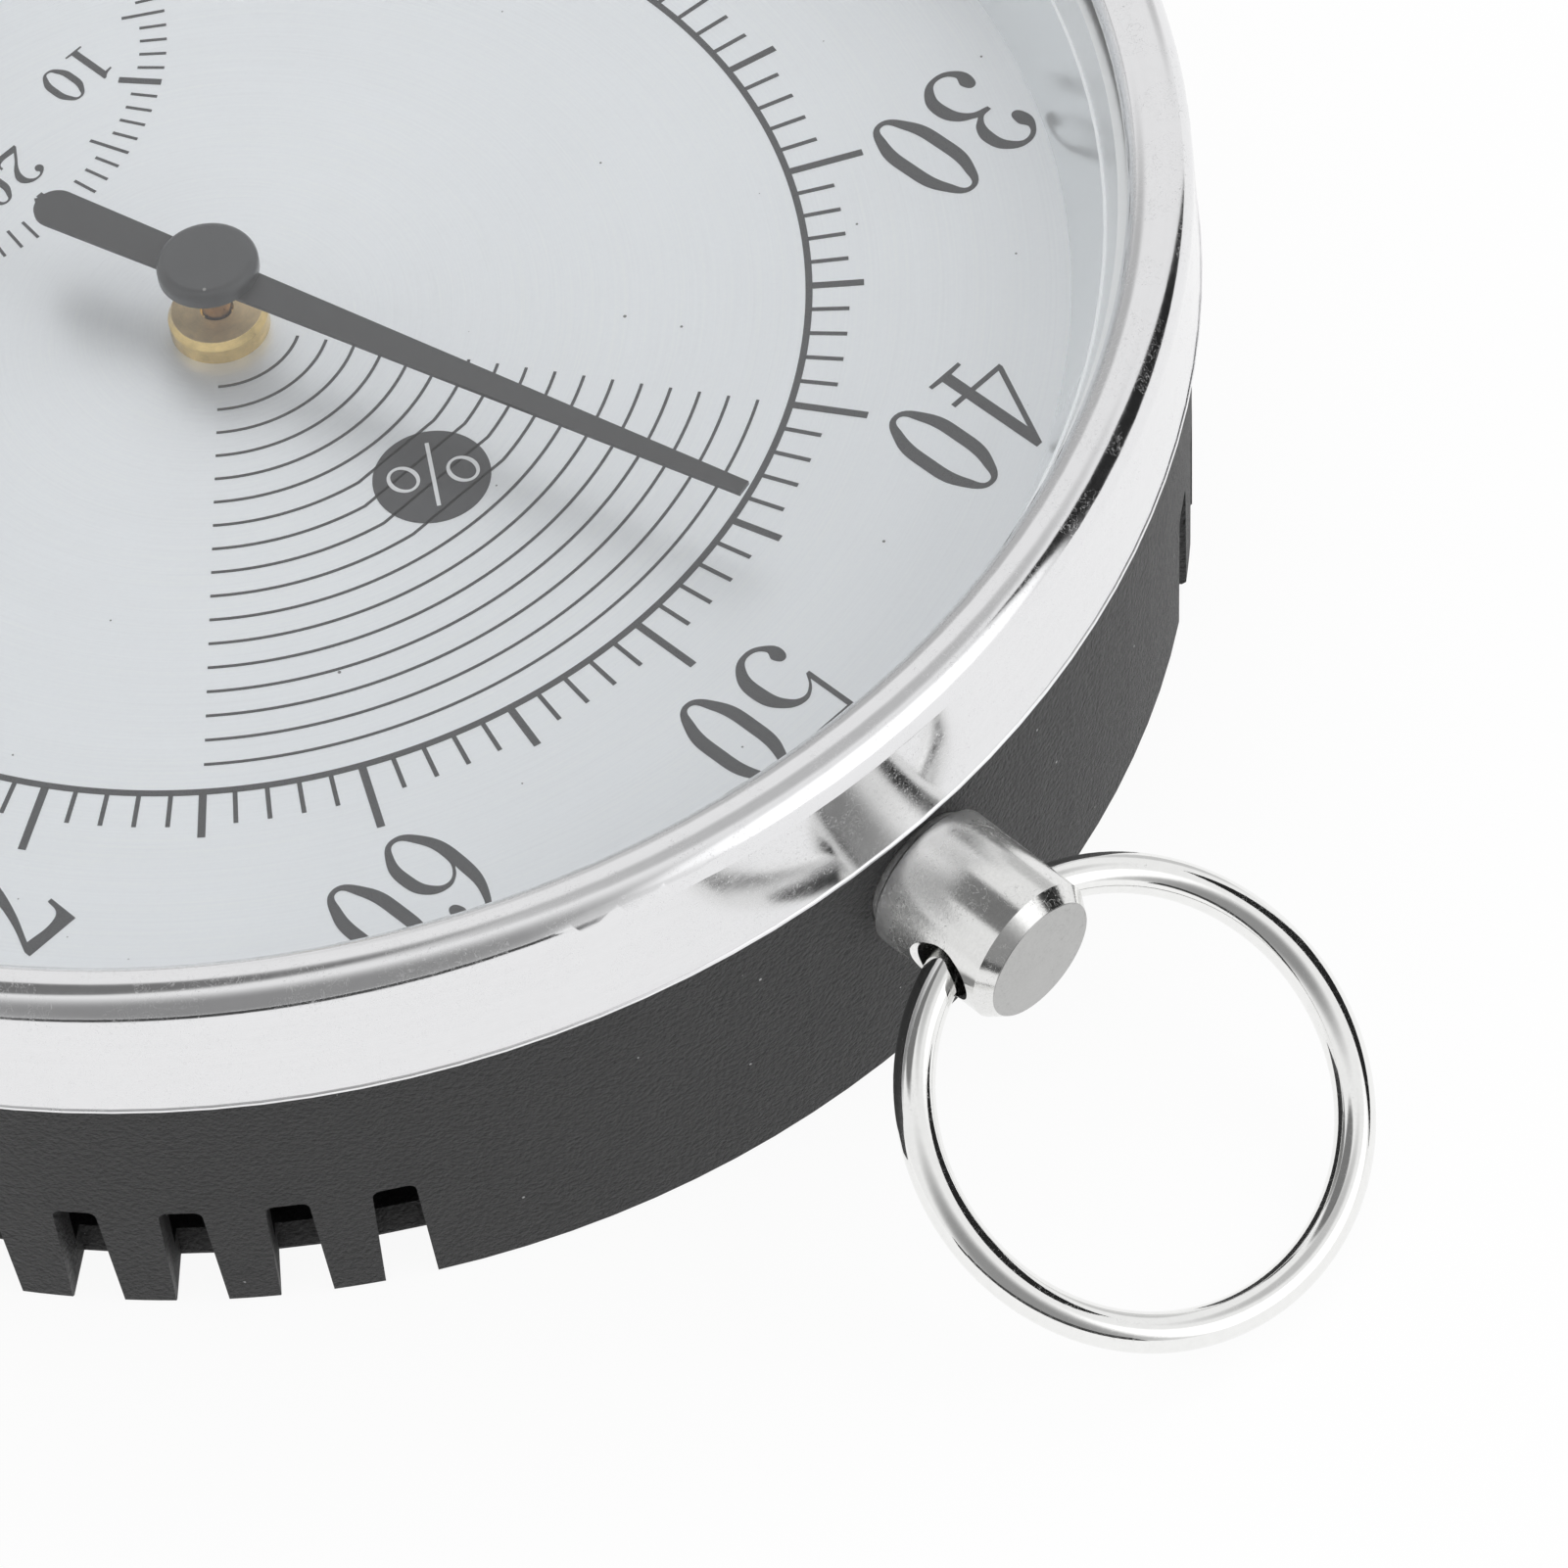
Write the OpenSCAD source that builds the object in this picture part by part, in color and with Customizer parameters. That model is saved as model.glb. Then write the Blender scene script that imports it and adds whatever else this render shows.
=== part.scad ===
// Round thermo-hygrometer with a drafted vented case, a rolled bezel, a dial with two scales,
// two pointer movements and a hanging ring. It lies on its back: +Z comes out of the dial and
// +Y points at the hanging stud. The origin is on the case axis, at the back face.

/* [Bezel] */
// Outside diameter of the bezel
bezel_d = 132; // [130:0.5:136]
// Wall thickness of the bezel sleeve
bezel_wall = 1.2; // [0.8:0.1:1.3]
// Height of the bezel's lower edge above the back
bezel_low_z = 23.7; // [23.6:0.1:25]
// Radius of the half-round roll on the rim
roll_r = 2.2; // [1.8:0.1:2.6]
// Height of the roll's centre above the back
roll_z = 32.4; // [32.2:0.1:34]
// Radius of the bead along the bezel's lower edge
bezel_edge_r = 0.25; // [0.15:0.05:0.4]
// Distance that the bead stands out from the bezel's side
bezel_lip = 0.12; // [0:0.02:0.14]

/* [Case] */
// Radius of the case at its back face
case_back_r = 64.1; // [63.5:0.1:64.3]
// Draft angle of the side wall
case_draft = 3.1; // [2.5:0.1:3.3]
// Thickness of the side wall
case_wall = 2.8; // [2.2:0.1:3]
// Thickness of the back
back_t = 2.9; // [2:0.1:3]
// Height of the shoulder that the bezel stands over
shoulder_z = 23.5; // [23:0.1:23.5]
// Outside radius of the stepped rim inside the bezel
rim_r = 64.7; // [64.2:0.1:64.7]
// Inside radius of the stepped rim
rim_in_r = 62.2; // [62.1:0.1:62.6]
// Height of the rim's top above the back
rim_top_z = 30; // [28:0.1:30]
// Inside radius of the ledge that carries the dial
ledge_r = 60.2; // [59:0.1:60.5]
// Chamfer on the case's back edge
case_edge = 0.3; // [0.1:0.1:0.6]

/* [Vents] */
// Number of slots in each of the two groups
vent_count = 19; // [5:1:19]
// Angle from the hanging stud to the first and last slot of a group
vent_first_deg = 34.9; // [30:0.1:40]
// Height of a slot above the back
vent_h = 10.85; // [6:0.05:12]
// Width of a slot at the back face
vent_low_w = 3.55; // [2:0.05:4]
// Width of a slot at its top
vent_top_w = 2.85; // [1.8:0.05:3.4]
// Radius of a slot's top corners
vent_corner_r = 0.6; // [0.2:0.1:0.9]
// Radius at which the slots end in the back
vent_in_r = 60.2; // [59:0.1:61]

/* [Dial and glass] */
// Height of the dial's face above the back
dial_z = 21.6; // [21.4:0.1:22]
// Thickness of the dial plate
dial_t = 0.6; // [0.4:0.1:0.8]
// Radius of the dial plate
dial_r = 62; // [61:0.1:62]
// Inside radius of the sloping ring at the dial
spacer_low_r = 57.3; // [56:0.1:58.5]
// Inside radius of the sloping ring at its top
spacer_top_r = 59.8; // [59:0.1:60]
// Height of the sloping ring's top above the back
spacer_top_z = 27.8; // [26:0.1:28.5]
// Inside radius of the glass seal at its foot
gasket_low_r = 60; // [60:0.1:60.3]
// Inside radius of the glass seal at the glass
gasket_top_r = 60.9; // [60.5:0.1:61.2]
// Height of the underside of the glass
glass_z = 30.2; // [30.1:0.1:30.4]
// Thickness of the glass
glass_t = 2; // [1.5:0.1:2]
// Radius of the glass
glass_r = 64.4; // [63:0.1:64.5]

/* [Hanging stud and ring] */
// Diameter of the stud
stud_d = 10.2; // [8:0.1:11]
// Visible length of the stud
stud_len = 10.5; // [9:0.1:13]
// Depth of the flat pocket that seats the stud
stud_pocket = 0.4; // [0.3:0.05:0.6]
// Height of the stud's axis at the case wall
stud_z = 17.75; // [17:0.05:18]
// Radius of the flat end face
stud_face_r = 4.3; // [3.4:0.1:4.6]
// Radius of the stud's neck at the case wall
stud_neck_r = 4.4; // [3.8:0.1:4.8]
// Visible length of the stud's neck
stud_neck_len = 0.6; // [0.3:0.1:1]
// Length of the chamfer at the end
stud_chamfer = 1.1; // [0.5:0.1:1.6]
// Diameter of the cross hole
hole_d = 4.3; // [4.2:0.1:4.5]
// Distance from the end face to the cross hole
hole_back = 4.15; // [3.4:0.05:4.5]
// Radius of the ring's wire centreline
ring_r = 15; // [13:0.5:18]
// Diameter of the ring's wire
wire_d = 2.7; // [2:0.1:2.8]
// Sideways shift of the ring in its hole
ring_side = 0.35; // [0:0.05:0.4]
// Distance from the hole's axis to the middle of the wire inside the hole
ring_offset = 0.45; // [0.3:0.05:0.5]

/* [Pointers] */
// Angle of the humidity pointer, clockwise from the stud
humidity_deg = -13.5; // [-150:0.5:150]
// Length of the humidity pointer's arm
humidity_arm = 41.9; // [36:0.1:43]
// Length of the humidity pointer's tail
humidity_tail = 13.9; // [8:0.1:15]
// Width of the humidity pointer at its tip
humidity_tip_w = 1.15; // [0.6:0.05:1.5]
// Width of the humidity pointer at its tail
humidity_tail_w = 3.1; // [2.4:0.1:4]
// Height of the underside of the humidity pointer above the dial
humidity_lift = 5.4; // [5:0.1:5.6]
// Radius of the humidity pointer's cap
humidity_cap_r = 3.45; // [2.5:0.05:4]
// Angle of the temperature pointer, clockwise from the stud
temperature_deg = 21.6; // [-144:0.6:144]
// Length of the temperature pointer's arm
temperature_arm = 17.6; // [14:0.1:19]
// Length of the temperature pointer's tail
temperature_tail = 6.4; // [4:0.1:8]
// Width of the temperature pointer at its tip
temperature_tip_w = 0.8; // [0.5:0.05:1]
// Width of the temperature pointer at its tail
temperature_tail_w = 2; // [1.6:0.1:2.6]
// Height of the underside of the temperature pointer above the dial
temperature_lift = 2.4; // [2:0.1:2.8]
// Radius of the temperature pointer's cap
temperature_cap_r = 2.2; // [1.5:0.05:3]
// Thickness of the pointer strips
pointer_t = 0.3; // [0.2:0.05:0.5]
// Height of the pointer caps
cap_h = 1.2; // [0.8:0.1:1.3]
// Rounding of the pointer caps' top edge
cap_edge_r = 0.7; // [0.2:0.1:0.8]

/* [Movements] */
// Distance from the dial's centre to the temperature movement's axis
sub_y = 36.45; // [34:0.05:38]
// Distance from a movement's axis to its pillars, humidity
humidity_span = 14; // [13.5:0.1:18]
// Outer radius of the humidity coil
humidity_coil_r = 10.5; // [8:0.1:10.5]
// Turns of the humidity coil
humidity_turns = 5; // [3:0.5:6]
// Distance from a movement's axis to its pillars, temperature
temperature_span = 12; // [11.5:0.1:14]
// Outer radius of the temperature coil
temperature_coil_r = 8.5; // [6:0.1:8.5]
// Turns of the temperature coil
temperature_turns = 4; // [3:0.5:5]
// Thickness of the coil strips
strip_t = 0.35; // [0.2:0.05:0.4]
// Thickness of the movement bars
bar_t = 1; // [0.6:0.1:1.2]
// Width of the movement bars
bar_w = 7; // [6:0.1:9]
// Height of the rear bars above the back
rear_bar_z = 5; // [4.8:0.1:5.4]
// Radius of the pillars
pillar_r = 1.4; // [1.2:0.1:1.6]
// Radius of the pointer shafts
arbor_r = 0.7; // [0.5:0.05:0.7]
// Radius of the bosses under the pointers
boss_r = 1; // [0.9:0.05:1.1]
// Clearance of a shaft in its bearing
running_gap = 0.05; // [0.03:0.01:0.08]
// Distance from a movement's axis to its slotted adjusting button
button_at = 9; // [8.6:0.1:9.4]
// Radius of the adjusting button
button_r = 2.2; // [1.8:0.1:2.3]

/* [Hidden] */
$fn = 96;
eps = 0.01;

bezel_r = bezel_d / 2;
sleeve_r = bezel_r - bezel_wall;
roll_x = bezel_r - roll_r;
glass_top_z = glass_z + glass_t;
dial_low_z = dial_z - dial_t;
shoulder_r = case_r(shoulder_z);
ledge_t = 1.6;

front_bar_z = dial_low_z - bar_t;
nut_h = 2.2;
sleeve_low_z = front_bar_z - nut_h - 0.6;
rear_top_z = rear_bar_z + bar_t;
rear_bush_r = 1.95;
rear_bush_top_z = rear_top_z + 2.4;
bearing_floor_z = rear_bar_z + 0.2;
lever_z = rear_top_z + 0.05;
lever_t = 0.8;
collet_r = 1.9;
coil_z = rear_top_z + 3.2;
strip_w = 5.6;
screw_r = 1;
screw_head_r = 1.9;
humidity_sleeve_r = 2.9;
humidity_flange_h = 1.8;
temperature_sleeve_r = 2;
temperature_flange_h = 1.2;
button_low_z = 1;
post_r = 0.6;
trim_deg = 15;

stud_r = stud_d / 2;
stud_y = case_r(stud_z);
hole_at = stud_len - hole_back;
hole_y = stud_y + hole_at * cos(case_draft);
hole_z = stud_z - hole_at * sin(case_draft);
wire_r = wire_d / 2;
ring_rest_deg = asin((hole_z - wire_r) / (2 * ring_r - ring_offset));
stud_screw_r = 1.5;
stud_seat = case_wall - 0.1;
stud_washer_t = 0.6;

// Radius of the case's outside at a height above the back
function case_r(z) = case_back_r + z * tan(case_draft);

// Points along an arc from one angle to another
function arc(x, y, r, from, to, steps) =
    [for (i = [0 : steps]) let (a = from + (to - from) * i / steps) [x + r * cos(a), y + r * sin(a)]];

// Point on a spiral that grows evenly from one radius to another, offset sideways
function spiral_point(from_r, to_r, turns, t, side) =
    let (r = from_r + (to_r - from_r) * t + side, a = -90 - 360 * turns * (1 - t))
    [r * cos(a), r * sin(a)];

// Places children on the temperature movement's axis
module at_temperature() {
    translate([0, -sub_y, 0]) children();
}

// Places children along the stud, with +Z outwards from the case wall
module on_stud() {
    translate([0, stud_y, stud_z]) rotate([-(90 + case_draft), 0, 0]) children();
}

// Cylinder between two heights
module post(r, low, high) {
    translate([0, 0, low]) cylinder(r = r, h = high - low);
}

// Flat plate with round ends, along X
module stadium(half_length, r, low, high) {
    translate([0, 0, low]) linear_extrude(high - low) union() {
        translate([-half_length, 0]) circle(r = r);
        translate([half_length, 0]) circle(r = r);
        translate([-half_length, -r]) square([2 * half_length, 2 * r]);
    }
}

// Outline of one vent slot, across and up
module vent_outline() {
    low = vent_low_w / 2;
    top = vent_top_w / 2;
    c = vent_corner_r;
    polygon(concat(
        [[-low, -1], [low, -1]],
        arc(top - c, vent_h - c, c, 0, 90, 4),
        arc(-top + c, vent_h - c, c, 90, 180, 4)
    ));
}

// One vent slot as a radial cutter, at an angle clockwise from the stud
module vent_cutter(angle) {
    reach = 8;
    rotate([0, 0, -angle]) translate([0, vent_in_r + reach, 0]) rotate([90, 0, 0])
        linear_extrude(reach) vent_outline();
}

// Opening in the back for an adjusting button, wide enough for its swing
module button_opening() {
    swing = button_at * sin(trim_deg);
    translate([0, -button_at, 0]) stadium(swing, button_r + 0.5, -1, back_t + 1);
}

module case_profile() {
    wall_low = case_r(back_t) - case_wall;
    wall_high_z = dial_low_z - ledge_t - (case_r(dial_low_z) - case_wall - ledge_r);
    polygon([
        [0, 0],
        [case_back_r - case_edge, 0],
        [case_r(case_edge), case_edge],
        [shoulder_r, shoulder_z],
        [rim_r, shoulder_z],
        [rim_r, rim_top_z],
        [rim_in_r, rim_top_z],
        [rim_in_r, dial_low_z],
        [ledge_r, dial_low_z],
        [ledge_r, dial_low_z - ledge_t],
        [case_r(wall_high_z) - case_wall, wall_high_z],
        [wall_low, back_t],
        [0, back_t]
    ]);
}

module case_vents() {
    step = (180 - 2 * vent_first_deg) / (vent_count - 1);
    for (i = [0 : vent_count - 1], side = [-1, 1])
        vent_cutter(side * (vent_first_deg + step * i));
}

module case() {
    notch_w = 8;
    color([0.19, 0.19, 0.2]) difference() {
        rotate_extrude() case_profile();
        case_vents();
        button_opening();
        at_temperature() button_opening();
        on_stud() post(stud_neck_r + 0.05, -stud_pocket, 3);
        on_stud() post(stud_screw_r + 0.1, -8, 1);
        // Notch in the ledge for the screw head, with a flat seat for its washer
        on_stud() translate([-notch_w / 2, -3.05, -12]) cube([notch_w, 7, 12 - stud_seat]);
    }
}

module bezel() {
    edge = bezel_edge_r;
    color([0.86, 0.87, 0.88]) rotate_extrude() difference() {
        union() {
            translate([roll_x, roll_z]) circle(r = roll_r);
            translate([sleeve_r, bezel_low_z + edge]) square([bezel_wall, roll_z - bezel_low_z - edge]);
            translate([sleeve_r, bezel_low_z]) square([bezel_wall - edge + bezel_lip, 2 * edge]);
            translate([bezel_r - edge + bezel_lip, bezel_low_z + edge]) circle(r = edge);
        }
        translate([sleeve_r - 10, bezel_low_z - 1]) square([10, glass_top_z - bezel_low_z + 1]);
    }
}

module glass() {
    color([0.8, 0.88, 0.9, 0.25]) post(glass_r, glass_z, glass_top_z);
}

module glass_gasket() {
    color([0.9, 0.91, 0.91]) rotate_extrude() polygon([
        [gasket_low_r, spacer_top_z], [dial_r, spacer_top_z],
        [dial_r, glass_z], [gasket_top_r, glass_z]
    ]);
}

module spacer_ring() {
    color([0.78, 0.8, 0.81]) rotate_extrude() polygon([
        [spacer_low_r, dial_z], [dial_r, dial_z],
        [dial_r, spacer_top_z], [spacer_top_r, spacer_top_z]
    ]);
}

module dial_plate() {
    color([0.84, 0.85, 0.86]) difference() {
        post(dial_r, dial_low_z, dial_z);
        post(humidity_sleeve_r + 0.1, dial_low_z - 1, dial_z + 1);
        at_temperature() post(temperature_sleeve_r + 0.1, dial_low_z - 1, dial_z + 1);
    }
}

// Stepped brass bush with a chamfered flange on the dial and a bored sleeve through it
module dial_bush(flange_r, flange_h, sleeve_r) {
    chamfer = flange_h / 3;
    color([0.76, 0.6, 0.33]) difference() {
        union() {
            post(flange_r, dial_z, dial_z + flange_h - chamfer);
            translate([0, 0, dial_z + flange_h - chamfer])
                cylinder(r1 = flange_r, r2 = flange_r - chamfer / 2, h = chamfer);
            post(sleeve_r, sleeve_low_z, dial_z + eps);
        }
        post(arbor_r + running_gap, sleeve_low_z - 1, dial_z + flange_h + 1);
        post(boss_r + 0.15, dial_z + flange_h - 0.6, dial_z + flange_h + 1);
    }
}

// Hexagon nut on a bush's sleeve, below the front bar
module bush_nut(across, sleeve_r) {
    color([0.72, 0.56, 0.3]) difference() {
        translate([0, 0, front_bar_z - nut_h]) cylinder(r = across / 2 / cos(30), h = nut_h, $fn = 6);
        post(sleeve_r + 0.05, front_bar_z - nut_h - 1, front_bar_z + 1);
    }
}

module front_bar(span, sleeve_r) {
    color([0.7, 0.56, 0.32]) difference() {
        stadium(span, bar_w / 2, front_bar_z, dial_low_z);
        post(sleeve_r + 0.1, front_bar_z - 1, dial_low_z + 1);
    }
}

module pillars(span) {
    screw_depth = 3.2;
    color([0.74, 0.6, 0.35]) for (side = [-1, 1]) translate([side * span, 0, 0]) difference() {
        post(pillar_r, rear_top_z, front_bar_z);
        post(screw_r + 0.05, rear_top_z - 1, rear_top_z + screw_depth);
    }
}

module rear_bar(span) {
    color([0.7, 0.56, 0.32]) difference() {
        stadium(span, bar_w / 2, rear_bar_z, rear_top_z);
        post(rear_bush_r + 0.02, rear_bar_z - 1, rear_top_z + 1);
        for (side = [-1, 1]) translate([side * span, 0, 0])
            post(screw_r + 0.1, rear_bar_z - 1, rear_top_z + 1);
    }
}

module pillar_screws(span) {
    head_h = 1;
    slot_w = 0.5;
    color([0.6, 0.61, 0.63]) for (side = [-1, 1]) translate([side * span, 0, 0]) difference() {
        union() {
            post(screw_head_r, rear_bar_z - head_h, rear_bar_z);
            post(screw_r, rear_bar_z - eps, rear_top_z + 3);
        }
        translate([-screw_head_r - 1, -slot_w / 2, rear_bar_z - head_h - 1])
            cube([2 * screw_head_r + 2, slot_w, 1.5]);
    }
}

// Rear bearing: a flanged bush whose blind bore carries the shaft's foot
module rear_bush() {
    color([0.76, 0.6, 0.33]) difference() {
        union() {
            post(rear_bush_r + 0.8, rear_bar_z - 0.8, rear_bar_z);
            post(rear_bush_r, rear_bar_z - eps, rear_bush_top_z);
        }
        post(arbor_r + running_gap, bearing_floor_z, rear_bush_top_z + 1);
    }
}

module arbor(lift) {
    color([0.6, 0.61, 0.63]) post(arbor_r, bearing_floor_z + 0.05, dial_z + lift + pointer_t + 0.5);
}

module collet() {
    color([0.76, 0.6, 0.33]) difference() {
        post(collet_r, coil_z - 0.3, coil_z + strip_w + 0.3);
        post(arbor_r, coil_z - 1, coil_z + strip_w + 1);
    }
}

// Spiral strip from beside the collet out to the adjuster's post
module coil(outer_r, turns) {
    steps = 20 * turns;
    inner_r = collet_r + strip_t / 2 + 0.08;
    half = strip_t / 2;
    outside = [for (i = [0 : steps]) spiral_point(inner_r, outer_r, turns, i / steps, half)];
    inside = [for (i = [steps : -1 : 0]) spiral_point(inner_r, outer_r, turns, i / steps, -half)];
    translate([0, 0, coil_z]) linear_extrude(strip_w) polygon(concat(outside, inside));
}

// Friction lever on the rear bush: its post holds the coil's outer end, and its slotted button
// reaches into the opening in the back
module adjuster(coil_r) {
    post_at = coil_r + strip_t / 2 + post_r + 0.05;
    lever_w = 3;
    slot_w = 0.7;
    color([0.74, 0.6, 0.35]) difference() {
        union() {
            post(rear_bush_r + 1.7, lever_z, lever_z + lever_t);
            translate([-lever_w / 2, -post_at - 0.8, lever_z]) cube([lever_w, post_at + 0.8, lever_t]);
            translate([0, -post_at, 0]) post(post_r, lever_z + lever_t - eps, coil_z + strip_w);
            translate([0, -button_at, 0]) post(button_r, button_low_z, lever_z + eps);
        }
        post(rear_bush_r + running_gap, lever_z - 1, lever_z + lever_t + 1);
        translate([-button_r - 1, -button_at - slot_w / 2, button_low_z - 1])
            cube([2 * button_r + 2, slot_w, 1.8]);
    }
}

// Tapering pointer strip with a rounded tail, turned clockwise to its reading
module pointer_strip(arm, tail, tip_w, tail_w, lift, angle) {
    end_r = tail_w / 2;
    nib = 0.25;
    color([0.2, 0.2, 0.21]) rotate([0, 0, -angle]) difference() {
        translate([0, 0, dial_z + lift]) linear_extrude(pointer_t) polygon(concat(
            [[tip_w / 2, arm], [-tip_w / 2, arm]],
            arc(0, -tail + end_r, end_r, 180, 262, 8),
            [[0, -tail - nib]],
            arc(0, -tail + end_r, end_r, 278, 360, 8)
        ));
        post(arbor_r, dial_z + lift - 1, dial_z + lift + pointer_t + 1);
    }
}

// Brass boss that joins the pointer to the shaft
module pointer_boss(flange_h, lift) {
    color([0.72, 0.52, 0.34]) difference() {
        post(boss_r, dial_z + flange_h - 0.2, dial_z + lift);
        post(arbor_r, dial_z, dial_z + lift + 1);
    }
}

// Round cap with a rounded top edge and a blind hole for the shaft's end
module pointer_cap(r, lift) {
    low = dial_z + lift + pointer_t;
    color([0.16, 0.16, 0.17]) difference() {
        rotate_extrude() union() {
            translate([0, low]) square([r, cap_h - cap_edge_r]);
            translate([0, low]) square([r - cap_edge_r, cap_h]);
            translate([r - cap_edge_r, low + cap_h - cap_edge_r]) intersection() {
                circle(r = cap_edge_r);
                square([cap_edge_r, cap_edge_r]);
            }
        }
        post(arbor_r, low - 1, low + 0.5);
    }
}

module humidity_bush() { dial_bush(3.4, humidity_flange_h, humidity_sleeve_r); }
module humidity_bush_nut() { bush_nut(9, humidity_sleeve_r); }
module humidity_front_bar() { front_bar(humidity_span, humidity_sleeve_r); }
module humidity_pillars() { pillars(humidity_span); }
module humidity_rear_bar() { rear_bar(humidity_span); }
module humidity_pillar_screws() { pillar_screws(humidity_span); }
module humidity_rear_bush() { rear_bush(); }
module humidity_arbor() { arbor(humidity_lift); }
module humidity_collet() { collet(); }
module humidity_coil() { color([0.8, 0.77, 0.66]) coil(humidity_coil_r, humidity_turns); }
module humidity_adjuster() { adjuster(humidity_coil_r); }
module humidity_pointer() {
    pointer_strip(humidity_arm, humidity_tail, humidity_tip_w,
        humidity_tail_w, humidity_lift, humidity_deg);
}
module humidity_pointer_boss() { pointer_boss(humidity_flange_h, humidity_lift); }
module humidity_pointer_cap() { pointer_cap(humidity_cap_r, humidity_lift); }

module temperature_bush() {
    at_temperature() dial_bush(2.5, temperature_flange_h, temperature_sleeve_r);
}
module temperature_bush_nut() { at_temperature() bush_nut(7, temperature_sleeve_r); }
module temperature_front_bar() { at_temperature() front_bar(temperature_span, temperature_sleeve_r); }
module temperature_pillars() { at_temperature() pillars(temperature_span); }
module temperature_rear_bar() { at_temperature() rear_bar(temperature_span); }
module temperature_pillar_screws() { at_temperature() pillar_screws(temperature_span); }
module temperature_rear_bush() { at_temperature() rear_bush(); }
module temperature_arbor() { at_temperature() arbor(temperature_lift); }
module temperature_collet() { at_temperature() collet(); }
module temperature_coil() {
    color([0.62, 0.6, 0.56]) at_temperature() coil(temperature_coil_r, temperature_turns);
}
module temperature_adjuster() { at_temperature() adjuster(temperature_coil_r); }
module temperature_pointer() {
    at_temperature() pointer_strip(temperature_arm, temperature_tail, temperature_tip_w,
        temperature_tail_w, temperature_lift, temperature_deg);
}
module temperature_pointer_boss() {
    at_temperature() pointer_boss(temperature_flange_h, temperature_lift);
}
module temperature_pointer_cap() {
    at_temperature() pointer_cap(temperature_cap_r, temperature_lift);
}

// Plated stud with a neck in the case wall, chamfered ends, a cross hole for the ring and a
// tapped foot
module hanging_stud() {
    rim = 0.35;
    foot = 0.2;
    color([0.72, 0.72, 0.71]) on_stud() difference() {
        union() {
            post(stud_neck_r, -stud_pocket, stud_neck_len + eps);
            translate([0, 0, stud_neck_len])
                cylinder(r1 = stud_r - foot, r2 = stud_r, h = foot);
            post(stud_r, stud_neck_len + foot - eps, stud_len - stud_chamfer);
            translate([0, 0, stud_len - stud_chamfer])
                cylinder(r1 = stud_r, r2 = stud_face_r, h = stud_chamfer);
        }
        translate([0, 0, hole_at]) rotate([0, 90, 0])
            cylinder(r = hole_d / 2, h = 3 * stud_r, center = true);
        for (side = [-1, 1]) translate([side * (stud_r - rim), 0, hole_at]) rotate([0, side * 90, 0])
            cylinder(r1 = hole_d / 2, r2 = hole_d / 2 + 2 * rim, h = 2 * rim);
        post(stud_screw_r + 0.02, -stud_pocket - 1, 3.2);
    }
}

module stud_washer() {
    color([0.66, 0.67, 0.68]) on_stud() difference() {
        post(2.9, -stud_seat - stud_washer_t, -stud_seat);
        post(stud_screw_r + 0.15, -stud_seat - 1, -stud_seat + 1);
    }
}

module stud_screw() {
    head_z = -stud_seat - stud_washer_t;
    head_h = 1.8;
    slot_w = 0.8;
    color([0.6, 0.61, 0.63]) on_stud() difference() {
        union() {
            post(2.7, head_z - head_h, head_z);
            post(stud_screw_r, head_z - eps, 2.8);
        }
        translate([-3.5, -slot_w / 2, head_z - head_h - 1]) cube([7, slot_w, 1.9]);
    }
}

module hanging_ring() {
    color([0.8, 0.8, 0.79]) translate([0, hole_y, hole_z]) rotate([-ring_rest_deg, 0, 0])
        translate([ring_side, ring_r - ring_offset, 0]) rotate_extrude()
            translate([ring_r, 0]) circle(r = wire_r);
}

case();
bezel();
glass();
glass_gasket();
spacer_ring();
dial_plate();
humidity_bush();
humidity_bush_nut();
humidity_front_bar();
humidity_pillars();
humidity_rear_bar();
humidity_pillar_screws();
humidity_rear_bush();
humidity_arbor();
humidity_collet();
humidity_coil();
humidity_adjuster();
humidity_pointer();
humidity_pointer_boss();
humidity_pointer_cap();
temperature_bush();
temperature_bush_nut();
temperature_front_bar();
temperature_pillars();
temperature_rear_bar();
temperature_pillar_screws();
temperature_rear_bush();
temperature_arbor();
temperature_collet();
temperature_coil();
temperature_adjuster();
temperature_pointer();
temperature_pointer_boss();
temperature_pointer_cap();
hanging_stud();
stud_washer();
stud_screw();
hanging_ring();
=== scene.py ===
"""Looks of a round thermo-hygrometer that lies on its back, dressed over its fixed CAD frame."""
import logging
import math
from dataclasses import dataclass, field
from enum import Enum
from functools import cached_property
from typing import ClassVar

import bmesh
import bpy
from mathutils import Matrix, Vector


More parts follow.
